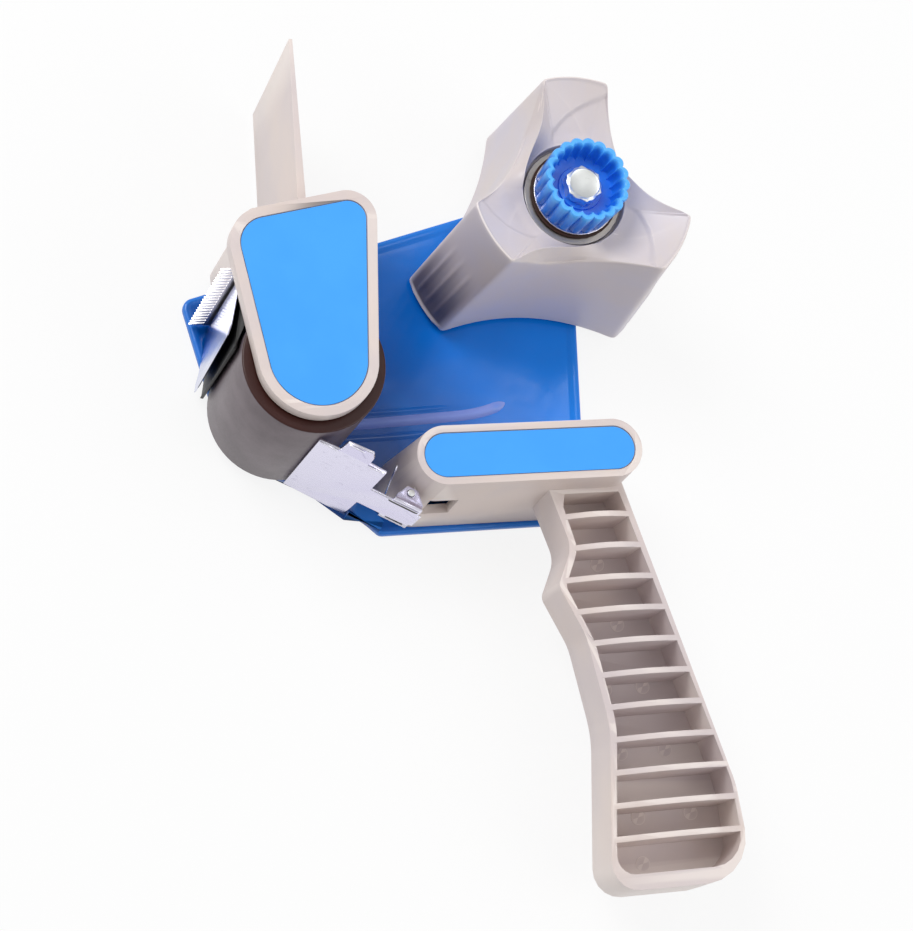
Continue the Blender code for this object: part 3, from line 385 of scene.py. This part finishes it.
def arm_step(radius, station):
    """Depth of the low step that curves across each arm."""
    tip_degrees = math.degrees(near_tip_half)
    degrees = tip_degrees * (2 * station / tip_stations - 1)
    shown = 1.0
    if station >= tip_stations:
        after = (station - tip_stations) / saddle_stations
        if after > 0.5:
            degrees = -tip_degrees - (1 - after) * saddle_degrees
            shown = 1 - smooth_share((1 - after) / 0.22)
        else:
            degrees = tip_degrees + after * saddle_degrees
            shown = 1 - smooth_share(after / 0.1)
    line = step_radius - step_slant_per_degree * degrees
    inside = smooth_share((line - radius) / step_width + 0.5)
    return step_depth * shown * inside * smooth_share((radius - recess_radius) / step_start)


wall, roof_margin, face_start = 0.0025, 0.0035, 0.0010
foot_lip_steps = ((0.0003, 0.0003), (0.0011, 0.0003), (0.0016, 0.0))
rib_height, rib_width, rib_places = 0.00045, 0.075, (-0.45, 0.0, 0.45)
near_edge_steps = ((0.00004, 0.00055), (0.0002, 0.0002), (0.00055, 0.00004))
bore_profile = ((0.0153, 0.0510), (0.0152, 0.0506), (0.0152, 0.0482), (0.0108, 0.0482),
                (0.0108, 0.0160), (0.0036, 0.0160), (0.0036, 0.0130), (0.0056, 0.0130),
                (0.0056, hub_low), (0.0133, hub_low), (0.0133, hub_ceiling))


def hub_point(vector, z):
    return (float(vector[0]), float(vector[1]), float(z))


def hub_ring(station, outer, inner, edge_height):
    """One slice of the hub: up the wall, over the face, down the bore and back."""
    on_tip = 0.0
    if station < tip_stations:
        on_tip = smooth_share(4 * min(station, tip_stations - station) / tip_stations)
    outer_way = outer / np.linalg.norm(outer)
    edge_radius = np.linalg.norm(inner)
    way = inner / edge_radius

    ring = [hub_point(outer - outer_way * wall, hub_low), hub_point(outer, hub_low)]
    for rise, lip in foot_lip_steps:
        ring.append(hub_point(outer + outer_way * lip * on_tip, hub_low + rise))
    place_on_tip = 2 * station / tip_stations - 1
    rib = sum(math.exp(-((place_on_tip - spot) / rib_width) ** 2) for spot in rib_places)
    for share in np.linspace(0.05, 0.97, 26):
        fade = smooth_share((share - 0.04) / 0.04) * (1 - smooth_share((share - 0.45) / 0.25))
        spot = outer + (inner - outer) * share + outer_way * rib_height * rib * fade * on_tip
        ring.append(hub_point(spot, hub_low + (edge_height - hub_low) * share))
    for back, drop in near_edge_steps:
        ring.append(hub_point(inner - way * back, edge_height - drop))
    start = edge_radius - face_start
    crest_radius = min(crest_at(station, edge_radius)[0], start - 0.0001)
    radii = list(np.linspace(start, crest_radius, 20))
    radii += list(np.linspace(crest_radius, recess_radius, 20))[1:]
    for radius in radii:
        ring.append(hub_point(way * radius, hub_face(radius, edge_radius, edge_height, station)))
    for radius, z in bore_profile:
        ring.append(hub_point(way * radius, z))
    ring.append(hub_point(way * (edge_radius - roof_margin), hub_ceiling))
    return ring


def hub_rings():
    far = star_outline(far_tip_radius, far_tip_half, far_saddle_radius)
    near = star_outline(near_tip_radius, near_tip_half, near_saddle_radius)
    per_arm = tip_stations + saddle_stations
    return [hub_ring(number % per_arm, *places)
            for number, places in enumerate(zip(far, near, hub_edge_heights()))]


hub_finish = moulded_plastic("hub_plastic", srgb(216, 205, 203), srgb(210, 204, 214),
                             srgb(242, 232, 228))
tip_way = (math.cos(hub_arm_turn), math.sin(hub_arm_turn))
outwards = hub_finish.ramp(hub_finish.along(*tip_way), 0.029, 0.033)
sideways = hub_finish.ramp(hub_finish.along(-tip_way[1], tip_way[0]), 0.0095, 0.0065)
other_side = hub_finish.ramp(hub_finish.along(-tip_way[1], tip_way[0]), -0.0100, -0.0070)
ragged_height = hub_finish.along(0, 0, 1.0) + 0.004 * hub_finish.noise(scale=90.0)
low_down = hub_finish.ramp(ragged_height, 0.043, 0.012)
off_edge = hub_finish.ramp(hub_finish.along(0, 0, 1.0), 0.0052, 0.0066)
# Painted shade: the low outer face of the tip pointing down and left is darkened.
painted_tip_shade = outwards * sideways * other_side * low_down * off_edge
hub_finish.set("Base Color", hub_finish.blend(painted_tip_shade * 0.86, hub_finish.colour, srgb(62, 46, 56)))
hub_shell = added_piece("hub_shell", *skinned(hub_rings(), True, True), hub_finish.material, "hub")
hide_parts("hub")


# Knob: blue plastic with twenty scallops outside and inside, a rounded rim and
# a deep cup round the bolt. Its top rim is painted paler and its upper crests
# carry a painted highlight.
def knob_plastic():
    finish = Finish("knob_plastic", Specular_IOR_Level=0.55)
    cloud = finish.noise(scale=150.0, detail=3.0)
    grain = finish.noise(scale=2400.0, detail=2.0)
    down = finish.ramp(finish.along(0, 0, 1.0), 0.0632, 0.0606)
    inside = finish.ramp(finish.along(0, 0, 1.0), 0.0560, 0.0632)
    base = finish.blend(finish.ramp(cloud, 0.3, 0.7), srgb(28, 116, 226), srgb(40, 130, 238))
    # Painted highlight: the top of the rim is paler than the rest, and the upper crests are
    # lightened further.
    base = finish.blend(down, srgb(72, 168, 252), base)
    finish.set("Base Color", finish.blend(finish.edges() * inside * 0.5, base, srgb(90, 182, 255)))
    finish.set("Roughness", 0.24 + 0.12 * grain)
    finish.bump(grain, strength=0.2, distance=0.00002)
    return finish.material


knob_low, knob_high, knob_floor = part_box("knob")[0][2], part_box("knob")[1][2], 0.0559
knob_lobes, points_per_lobe = 20, 10
lobe_depth, lobe_curve = 0.0010, 0.75
knob_profile = (
    (0.0033, knob_low), (0.0119, knob_low), (0.0122, knob_low + 0.0003),
    (0.0126, knob_high - 0.0008), (0.01255, knob_high - 0.0003), (0.0123, knob_high),
    (0.0113, knob_high), (0.0109, knob_high - 0.0003), (0.0107, knob_high - 0.0009),
    (0.0103, knob_floor + 0.0008), (0.0098, knob_floor + 0.0001), (0.0090, knob_floor),
    (0.0066, knob_floor), (0.0064, knob_floor + 0.0005), (0.0033, knob_floor + 0.0005))
lobed_profile_points = range(1, 11)


def knob_rings():
    rings = []
    count = knob_lobes * points_per_lobe
    for step in range(count):
        turn = 2 * math.pi * step / count
        lobe = lobe_depth * (abs(math.sin(knob_lobes / 2 * turn)) ** lobe_curve - 1)
        ring = []
        for number, (radius, z) in enumerate(knob_profile):
            grown = radius + (lobe if number in lobed_profile_points else 0.0)
            ring.append((grown * math.cos(turn), grown * math.sin(turn), z))
        rings.append(ring)
    return rings


knob_blue = knob_plastic()
knob_shell = added_piece("knob_shell", *skinned(knob_rings(), True, True), knob_blue, "knob")
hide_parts("knob")


# Bolt and other fasteners: zinc plated steel, faintly mottled and scuffed, with
# edges painted near white as a highlight. The bolt's head is a forged hexagon
# whose corners are cut round by the chamfer.
def plated(name, colour, shade, rough, grain=(40.0, 900.0, 400.0)):
    finish = Finish(name, Metallic=1.0)
    lines = finish.noise(scale=1.0, detail=3.0, vector=finish.stretched(*grain))
    scuffs = finish.noise(scale=240.0, detail=5.0, roughness=0.7, distortion=1.5)
    marks = finish.ramp(scuffs, 0.58, 0.72)
    base = finish.blend(marks * 0.6, colour, shade)
    # Painted highlight: edges are lightened to near white on every plated steel.
    finish.set("Base Color", finish.blend(finish.edges() * 0.5, base, srgb(250, 250, 252)))
    finish.set("Roughness", rough + 0.1 * lines + 0.14 * marks)
    finish.bump(lines * 0.3 + scuffs, strength=0.12, distance=0.00006)
    return finish.material


zinc = plated("zinc", srgb(232, 234, 232), srgb(196, 198, 194), 0.36)
for name in nodes:
    if "screw" in name:
        soften(give(name, zinc), 0.0002)
for name in ("plate_nut", "roller_axle", "retainer_pin", "hub_bolt"):
    soften(give(name, zinc), 0.0003)

head_low, head_high = 0.0572, 0.0602
half_across_flats, hexagon_turn, head_points = 0.00485, math.radians(12), 48
head_profile = ((head_low, 0.0055), (head_high - 0.0012, 0.0055), (head_high - 0.0005, 0.0052),
                (head_high, 0.0044), (head_high - 0.0002, 0.0040), (head_high - 0.00025, 0.0001))
rings = []
for height, radius in head_profile:
    ring = []
    for turn in round_turns(head_points):
        off_flat = (turn + hexagon_turn) % math.radians(60) - math.radians(30)
        reach = min(radius, half_across_flats / math.cos(off_flat))
        ring.append((reach * math.cos(turn), reach * math.sin(turn), height))
    rings.append(ring)
bolt_head = added_piece("bolt_head", *skinned(rings), zinc, "knob")


# Washers and springs of the brake: a grey cup, a brown fibre ring and a bright
# thrust washer under the knob, and a dull coil in the hub's bore.
dull_steel = plated("dull_steel", srgb(158, 150, 144), srgb(112, 104, 98), 0.34)
bright_steel = plated("bright_steel", srgb(232, 230, 244), srgb(196, 194, 210), 0.16)
for name in ("spring_seat", "brake_spring", "retainer_spring"):
    give(name, dull_steel)
soften(give("spring_cup", dull_steel), 0.0003)
soften(give("thrust_washer", bright_steel), 0.0001)


def rubber(name, colour, shade, rough):
    finish = Finish(name, Specular_IOR_Level=0.4)
    cloud = finish.noise(scale=90.0, detail=4.0)
    grain = finish.noise(scale=1800.0, detail=3.0)
    finish.colour = finish.blend(finish.ramp(cloud, 0.3, 0.7), colour, shade)
    finish.set("Base Color", finish.colour)
    finish.set("Roughness", rough + 0.15 * grain)
    finish.bump(grain, strength=0.3, distance=0.00004)
    return finish


brown_fibre = rubber("brown_fibre", srgb(56, 26, 12), srgb(40, 18, 8), 0.5).material
for name in ("fibre_washer", "rear_friction_washer", "roller_core"):
    soften(give(name, brown_fibre), 0.0002)


# Side plate: pressed steel with a turned rim under glossy blue paint, a little
# wavy as sprayed paint is. As painted reflection, its colour darkens towards the
# front, lightens towards the back and has paler wavy patches, and its edges are
# painted paler as a highlight. A bead between two low banks is pressed up along
# the tape's way; the bead is painted pale lavender as a reflection.
def glossy_paint(name, shade, colour):
    finish = Finish(name, Specular_IOR_Level=0.32, Coat_Weight=0.15, Coat_Roughness=0.04)
    waves = finish.noise(scale=34.0, detail=2.0, distortion=0.6)
    peel = finish.noise(scale=700.0, detail=2.0)
    # Painted reflection: darker towards the front, lighter towards the back, with paler wavy
    # patches from the waves.
    across = finish.ramp(finish.along(1.0, 0.25) + 0.02 * waves, -0.075, 0.018)
    base = finish.blend(across, shade, colour)
    base = finish.blend(finish.ramp(waves, 0.4, 0.75, 0.0, 0.3), base, colour)
    # Painted highlight: the edges are lightened.
    painted_edge_highlight = finish.edges(0.505, 0.53) * 0.7
    finish.set("Base Color", finish.blend(painted_edge_highlight, base, srgb(50, 132, 230)))
    finish.set("Roughness", 0.12 + 0.06 * peel)
    finish.bump(waves + peel * 0.02, strength=0.4, distance=0.0008)
    return finish.material


blue_paint = glossy_paint("blue_paint", srgb(0, 72, 158), srgb(16, 132, 240))


plate_top = 0.00205
ridge_sink, ridge_points, ridge_end_rings = 0.0002, 17, 3


def pressed_ridge(name, line, width, rise, material):
    """A smooth raised stroke along a line on the plate, tapering into it at its ends."""
    line = [Vector(point) for point in line]
    rings = []
    for number, point in enumerate(line):
        before, after = line[max(number - 1, 0)], line[min(number + 1, len(line) - 1)]
        way = (after - before).normalized()
        side = Vector((-way.y, way.x))
        end = smooth_share(min(number, len(line) - 1 - number) / ridge_end_rings)
        ring = []
        for across in np.linspace(-1, 1, ridge_points):
            lift = math.cos(across * math.pi / 2) ** 0.8 * rise * end
            spot = point + side * (width / 2 * across * (0.3 + 0.7 * end))
            ring.append((spot.x, spot.y, plate_top - ridge_sink + lift))
        rings.append(ring)
    return added_piece(name, *skinned(rings, closed_rings=False), material)


def curve_through(points, count):
    """A smooth line through points."""
    points = np.array(points)
    lengths = np.concatenate(([0], np.cumsum(np.linalg.norm(np.diff(points, axis=0), axis=1))))
    spots = np.linspace(0, lengths[-1], count)
    line = np.stack([np.interp(spots, lengths, points[:, axis]) for axis in (0, 1)], axis=1)
    for _ in range(12):
        line[1:-1] = (line[:-2] + 2 * line[1:-1] + line[2:]) / 4
    return line


plate_corners = (
    (-0.1063, -0.0123, 0.0035), (-0.0973, -0.0595, 0.0120), (-0.0631, -0.0767, 0.0030),
    (-0.0549, -0.0850, 0.0025), (0.0089, -0.0846, 0.0060), (0.0188, 0.0222, 0.0163))
least_corner, corner_steps = 0.0006, 12


def plate_loop(inset):
    """The plate's outline moved inwards, with the same points at every inset."""
    points = []
    for index, (x, y, radius) in enumerate(plate_corners):
        corner = Vector((x, y))
        before = (Vector(plate_corners[index - 1][:2]) - corner).normalized()
        following = plate_corners[(index + 1) % len(plate_corners)]
        after = (Vector(following[:2]) - corner).normalized()
        half = before.angle(after) / 2
        bisector = (before + after).normalized()
        corner = corner + bisector * (inset / math.sin(half))
        kept = max(radius - inset, least_corner)
        centre = corner + bisector * (kept / math.sin(half))
        start = corner + before * (kept / math.tan(half)) - centre
        sweep = start.angle_signed(corner + after * (kept / math.tan(half)) - centre)
        for step in range(corner_steps + 1):
            spot = centre + Matrix.Rotation(-sweep * step / corner_steps, 2) @ start
            points.append((spot.x, spot.y))
    return points


rim_profile = (
    (0.0012, 0.0012), (0.0012, 0.0002), (0.0009, 0.0), (0.0003, 0.0), (0.0, 0.0003),
    (0.0, 0.0016), (0.0002, 0.0021), (0.0006, 0.00235), (0.0011, 0.0024),
    (0.0020, 0.0024), (0.0026, 0.0023), (0.0032, 0.0021), (0.0038, plate_top))
rings = [[(x, y, z) for x, y in plate_loop(inset)] for inset, z in rim_profile]
plate_shell = added_piece("plate_shell", *skinned(rings), blue_paint)
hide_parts("side_plate")

# Painted reflection: the bead is coloured pale lavender, not the plate's blue, for the light it
# mirrors.
bead_painted_reflection = glossy_paint("bead_painted_reflection", srgb(112, 134, 212), srgb(148, 166, 236))
bead_width, bead_rise, bank_rise = 0.0036, 0.0009, 0.00040
bead_line = curve_through([(-0.0840, -0.0522), (-0.0540, -0.0514), (-0.0348, -0.0505),
                           (-0.0230, -0.0500), (-0.0160, -0.0487), (-0.0103, -0.0461)], 48)
pressed_ridge("bead", bead_line, bead_width, bead_rise, bead_painted_reflection)
banks = (
    ("bead_bank_upper", [(-0.0840, -0.0484), (-0.0409, -0.0479), (-0.0260, -0.0472)], 0.0026),
    ("bead_bank_lower", [(-0.0840, -0.0562), (-0.0469, -0.0556), (-0.0340, -0.0550)], 0.0034))
for name, line, width in banks:
    pressed_ridge(name, curve_through(line, 30), width, bank_rise, blue_paint)


# Labels: plain blue film in the shallow pockets of the cheek and the block,
# without print, a little cloudy and matt beside the gloss of the paint.
def label_film():
    finish = Finish("blue_label", Specular_IOR_Level=0.3)
    cloud = finish.noise(scale=60.0, detail=3.0)
    fibre = finish.noise(scale=1500.0, detail=2.0)
    finish.set("Base Color", finish.blend(finish.ramp(cloud, 0.3, 0.7), srgb(65, 161, 252),
                                          srgb(69, 165, 254)))
    finish.set("Roughness", 0.5 + 0.1 * fibre)
    finish.bump(fibre, strength=0.1, distance=0.00001)
    return finish.material


blue_label = label_film()
for name in ("handle_label", "cheek_label"):
    give(name, blue_label)


# Cheek, front block and flap: the same pale plastic as the handle. The cheek's
# rim is rounded, and the flap is a thin moulded finger clamped in the block.
for name, edge in (("front_cheek", 0.0009), ("front_block", 0.0006), ("flap", 0.0003)):
    soften(give(name, pale_plastic), edge)


# Roller: brown grey rubber, ground smooth round its side, and left dark red
# brown on its ends. It turns on black bushes.
tyre_finish = rubber("tyre_rubber", srgb(112, 100, 106), srgb(96, 84, 90), 0.3)
near_end = tyre_finish.ramp(tyre_finish.along(0, 0, 1.0), 0.0514, 0.0519)
far_end = tyre_finish.ramp(tyre_finish.along(0, 0, 1.0), 0.0046, 0.0041)
tyre_finish.set("Base Color", tyre_finish.blend((near_end + far_end).clamped(), tyre_finish.colour,
                                                srgb(54, 18, 12)))
soften(give("roller_tyre", tyre_finish.material), 0.0005)
# Painted shade: the blade holder is made black to fill the deep shade between guard and roller; the
# bushes are black plastic.
black_plastic = rubber("black_plastic", srgb(12, 11, 12), srgb(5, 5, 6), 0.4).material
for name in ("blade_holder", "roller_bush_far", "roller_bush_near"):
    soften(give(name, black_plastic), 0.0004)


# Blade: spring steel ground to a comb of narrow teeth, over a black holder. The
# body is painted darker than the bright teeth as a dark reflection, and the
# holder is made black as painted shade for the deep gap between guard and
# roller. A bright strip stands in front of the holder and guards it.
# Painted reflection: the body's steel is darker than the teeth's.
blade_steel_painted_dark_reflection = plated("blade_steel_painted_dark_reflection", srgb(150, 138, 138), srgb(104, 92, 94), 0.24)
tooth_steel = plated("tooth_steel", srgb(238, 232, 230), srgb(170, 150, 146), 0.3)
blade_low, blade_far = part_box("blade")[0][1:]
blade_high, blade_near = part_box("blade")[1][1:]
blade_back, body_front, tooth_tip = -0.0880, -0.1008, -0.1051
outline = ((blade_back, blade_far), (blade_back, blade_near), (body_front, blade_near),
           (body_front, blade_far))
blade_shell = added_piece("blade_body", *skinned(
    [[(x, y, z) for x, z in outline] for y in (blade_low, blade_high)]), blade_steel_painted_dark_reflection)
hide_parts("blade")

tooth_count, tooth_thinning = 21, 0.00005
tooth_pitch = (blade_near - blade_far) / tooth_count
tooth_outline = (
    (body_front + 0.0004, 0.31), (body_front - 0.0006, 0.26), (tooth_tip + 0.0006, 0.13),
    (tooth_tip, 0.02), (tooth_tip, -0.02), (tooth_tip + 0.0006, -0.13),
    (body_front - 0.0006, -0.26), (body_front + 0.0004, -0.31))
points, faces = [], []
for tooth in range(tooth_count):
    middle = blade_far + tooth_pitch * (tooth + 0.5)
    rings = [[(x, y, middle + share * tooth_pitch) for x, share in tooth_outline]
             for y in (blade_low + tooth_thinning, blade_high - tooth_thinning)]
    more_points, more_faces = skinned(rings)
    faces += [tuple(index + len(points) for index in face) for face in more_faces]
    points += more_points
added_piece("blade_teeth", points, faces, tooth_steel)

guard_steel = plated("guard_steel", srgb(186, 192, 226), srgb(150, 154, 196), 0.14)
guard_line = ((-0.0990, -0.0212), (-0.1002, -0.0250), (-0.1016, -0.0300), (-0.1031, -0.0350),
              (-0.1042, -0.0378), (-0.1048, -0.0402))
guard_low, guard_high, tongue_high = 0.0030, 0.0484, 0.0085
guard_slope, straight_rings = 0.0012, 3
guard_thick, guard_skew = 0.0005, 0.0001
rings = []
for number, (x, y) in enumerate(guard_line):
    high = guard_high - guard_slope * max(number - straight_rings, 0)
    if number == len(guard_line) - 1:
        high = tongue_high
    back_x, back_y = x - guard_thick, y - guard_skew
    rings.append([(x, y, guard_low), (x, y, high), (back_x, back_y, high),
                  (back_x, back_y, guard_low)])
guard_shell = soften(added_piece("guard_shell", *skinned(rings), guard_steel), 0.0001)
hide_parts("blade_guard")


# Catch: nickel plated spring steel, stamped with a stepped edge whose flanges
# stand over thin dark strips of painted shade, and scratched by the tape. Its
# slots are dark strips of painted shade as well. A wire spring bears on its back.
catch_steel = plated("catch_steel", srgb(214, 210, 236), srgb(168, 164, 196), 0.22,
                     grain=(300.0, 60.0, 900.0))
soften(give("retainer_plate", catch_steel), 0.00015)
catch_start = Vector((-0.0823, -0.0684))
catch_way = Vector((0.869, -0.495)).normalized()
catch_side = Vector((-catch_way.y, catch_way.x))
catch_face = -0.0004
bar_tip_share, bar_corner_share = 0.08, 0.3


def on_catch(along, off, z):
    spot = catch_start + catch_way * along + catch_side * off
    return (spot.x, spot.y, z)


def catch_bar(name, start, end, low, high, depth, material):
    """A thin bar on the catch's outer face with chamfered ends, or a dark strip painted as the
    shade in a slot.
    """
    rings = []
    tip = (end - start) * bar_tip_share
    corner = (high - low) * bar_corner_share
    for off in (catch_face, catch_face - depth):
        rings.append([on_catch(a, off, z) for a, z in (
            (start + tip, low), (end - tip, low), (end, low + corner), (end, high - corner),
            (end - tip, high), (start + tip, high), (start, high - corner),
            (start, low + corner))])
    added_piece(name, *skinned(rings), material, "retainer")


# Painted shade: the slots and the gaps under the flanges are thin dark strips laid on the face, not
# openings.
slot_painted_shade = rubber("slot_painted_shade", srgb(24, 16, 16), srgb(12, 8, 8), 0.5).material
slot_depth, slot_half = 0.00006, 0.00025
flange_depth, flange_low, flange_high, flange_past = 0.00025, 0.00035, 0.0010, 0.0004
stamped_slots = ((0.0006, 0.0058, 0.0470), (0.0076, 0.0116, 0.0548), (0.0154, 0.0194, 0.0466))
for number, (start, end, z) in enumerate(stamped_slots):
    catch_bar(f"catch_slot_{number + 1}", start, end, z - slot_half, z + slot_half,
              slot_depth, slot_painted_shade)
    catch_bar(f"catch_flange_{number + 1}", start - flange_past, end + flange_past,
              z + flange_low, z + flange_high, flange_depth, catch_steel)
catch_bar("catch_slot_long", 0.0262, 0.0352, 0.0296, 0.0312, slot_depth, slot_painted_shade)
catch_bar("catch_slot_rim", 0.0262, 0.0352, 0.0314, 0.0318, 0.00030, catch_steel)
catch_bar("catch_slot_low", 0.0290, 0.0345, 0.0166, 0.0172, slot_depth, slot_painted_shade)

wire_start, wire_run = Vector((-0.0597, -0.0753, 0.0420)), Vector((0.0031, -0.0017, -0.0250))
wire_radius, wire_end_radius, wire_points = 0.00030, 0.00018, 12
wire_side = wire_run.normalized().orthogonal().normalized()
wire_other = wire_run.normalized().cross(wire_side)
wire_rings = []
for share in (0.0, 0.02, 0.5, 0.98, 1.0):
    middle = wire_start + wire_run * share
    radius = wire_radius if 0.0 < share < 1.0 else wire_end_radius
    wire_rings.append([
        tuple(middle + (wire_side * math.cos(turn) + wire_other * math.sin(turn)) * radius)
        for turn in round_turns(wire_points)])
added_piece("catch_wire", *skinned(wire_rings), bright_steel)


# Floor, world and lamps: a plain white table under broad soft lamps. The camera
# and mirrors see it glow white, while the lit part of it keeps the shadow.
def table_top():
    finish = Finish("table_top", Roughness=0.9)
    finish.set("Base Color", srgb(236, 236, 236))
    glow = finish.node("ShaderNodeEmission", {}, {"Color": (1.0, 1.0, 1.0, 1.0), "Strength": 1.0})
    path = finish.tree.nodes.new("ShaderNodeLightPath")
    seen = Feed(finish, path.outputs["Is Camera Ray"])
    mirrored = Feed(finish, path.outputs["Is Glossy Ray"])
    through = Feed(finish, path.outputs["Is Transmission Ray"])
    share = (seen + mirrored + through).clamped() * 0.86
    plain = Feed(finish, finish.shader.outputs[0])
    mixed = finish.node("ShaderNodeMixShader", {}, {0: share, 1: plain, 2: glow})
    finish.tree.links.new(mixed.socket, finish.out.inputs["Surface"])
    return finish.material


floor_reach, floor_drop, world_strength = 3, 0.0002, 0.5
floor_mesh = bpy.data.meshes.new("floor")
floor_mesh.from_pydata([(floor_reach * x, floor_reach * y, 0)
                        for x, y in ((-1, -1), (1, -1), (1, 1), (-1, 1))], [], [(0, 1, 2, 3)])
floor = bpy.data.objects.new("floor", floor_mesh)
bpy.context.scene.collection.objects.link(floor)
floor.data.materials.append(table_top())
floor.location.z = -floor_drop

world = bpy.data.worlds.new("studio")
bpy.context.scene.world = world
world.use_nodes = True
sky = world.node_tree.nodes["Background"]
sky.inputs["Color"].default_value = (1.0, 1.0, 1.0, 1.0)
sky.inputs["Strength"].default_value = world_strength


def lamp(name, place, aim, size, power):
    data = bpy.data.lights.new(name, "AREA")
    data.shape = "RECTANGLE"
    data.size, data.size_y = size
    data.energy = power
    made = bpy.data.objects.new(name, data)
    made.location = place
    made.rotation_euler = (Vector(aim) - Vector(place)).to_track_quat("-Z", "Y").to_euler()
    bpy.context.scene.collection.objects.link(made)


lamp_aim = (-0.03, -0.06, 0.02)
lamp("key_lamp", (-0.7, 0.6, 1.1), lamp_aim, (0.7, 0.7), 11.0)
lamp("fill_lamp", (0.8, -0.5, 0.9), lamp_aim, (0.9, 0.9), 5.0)
lamp("strip_lamp", (0.36, 0.28, 0.95), lamp_aim, (0.10, 0.7), 0.5)
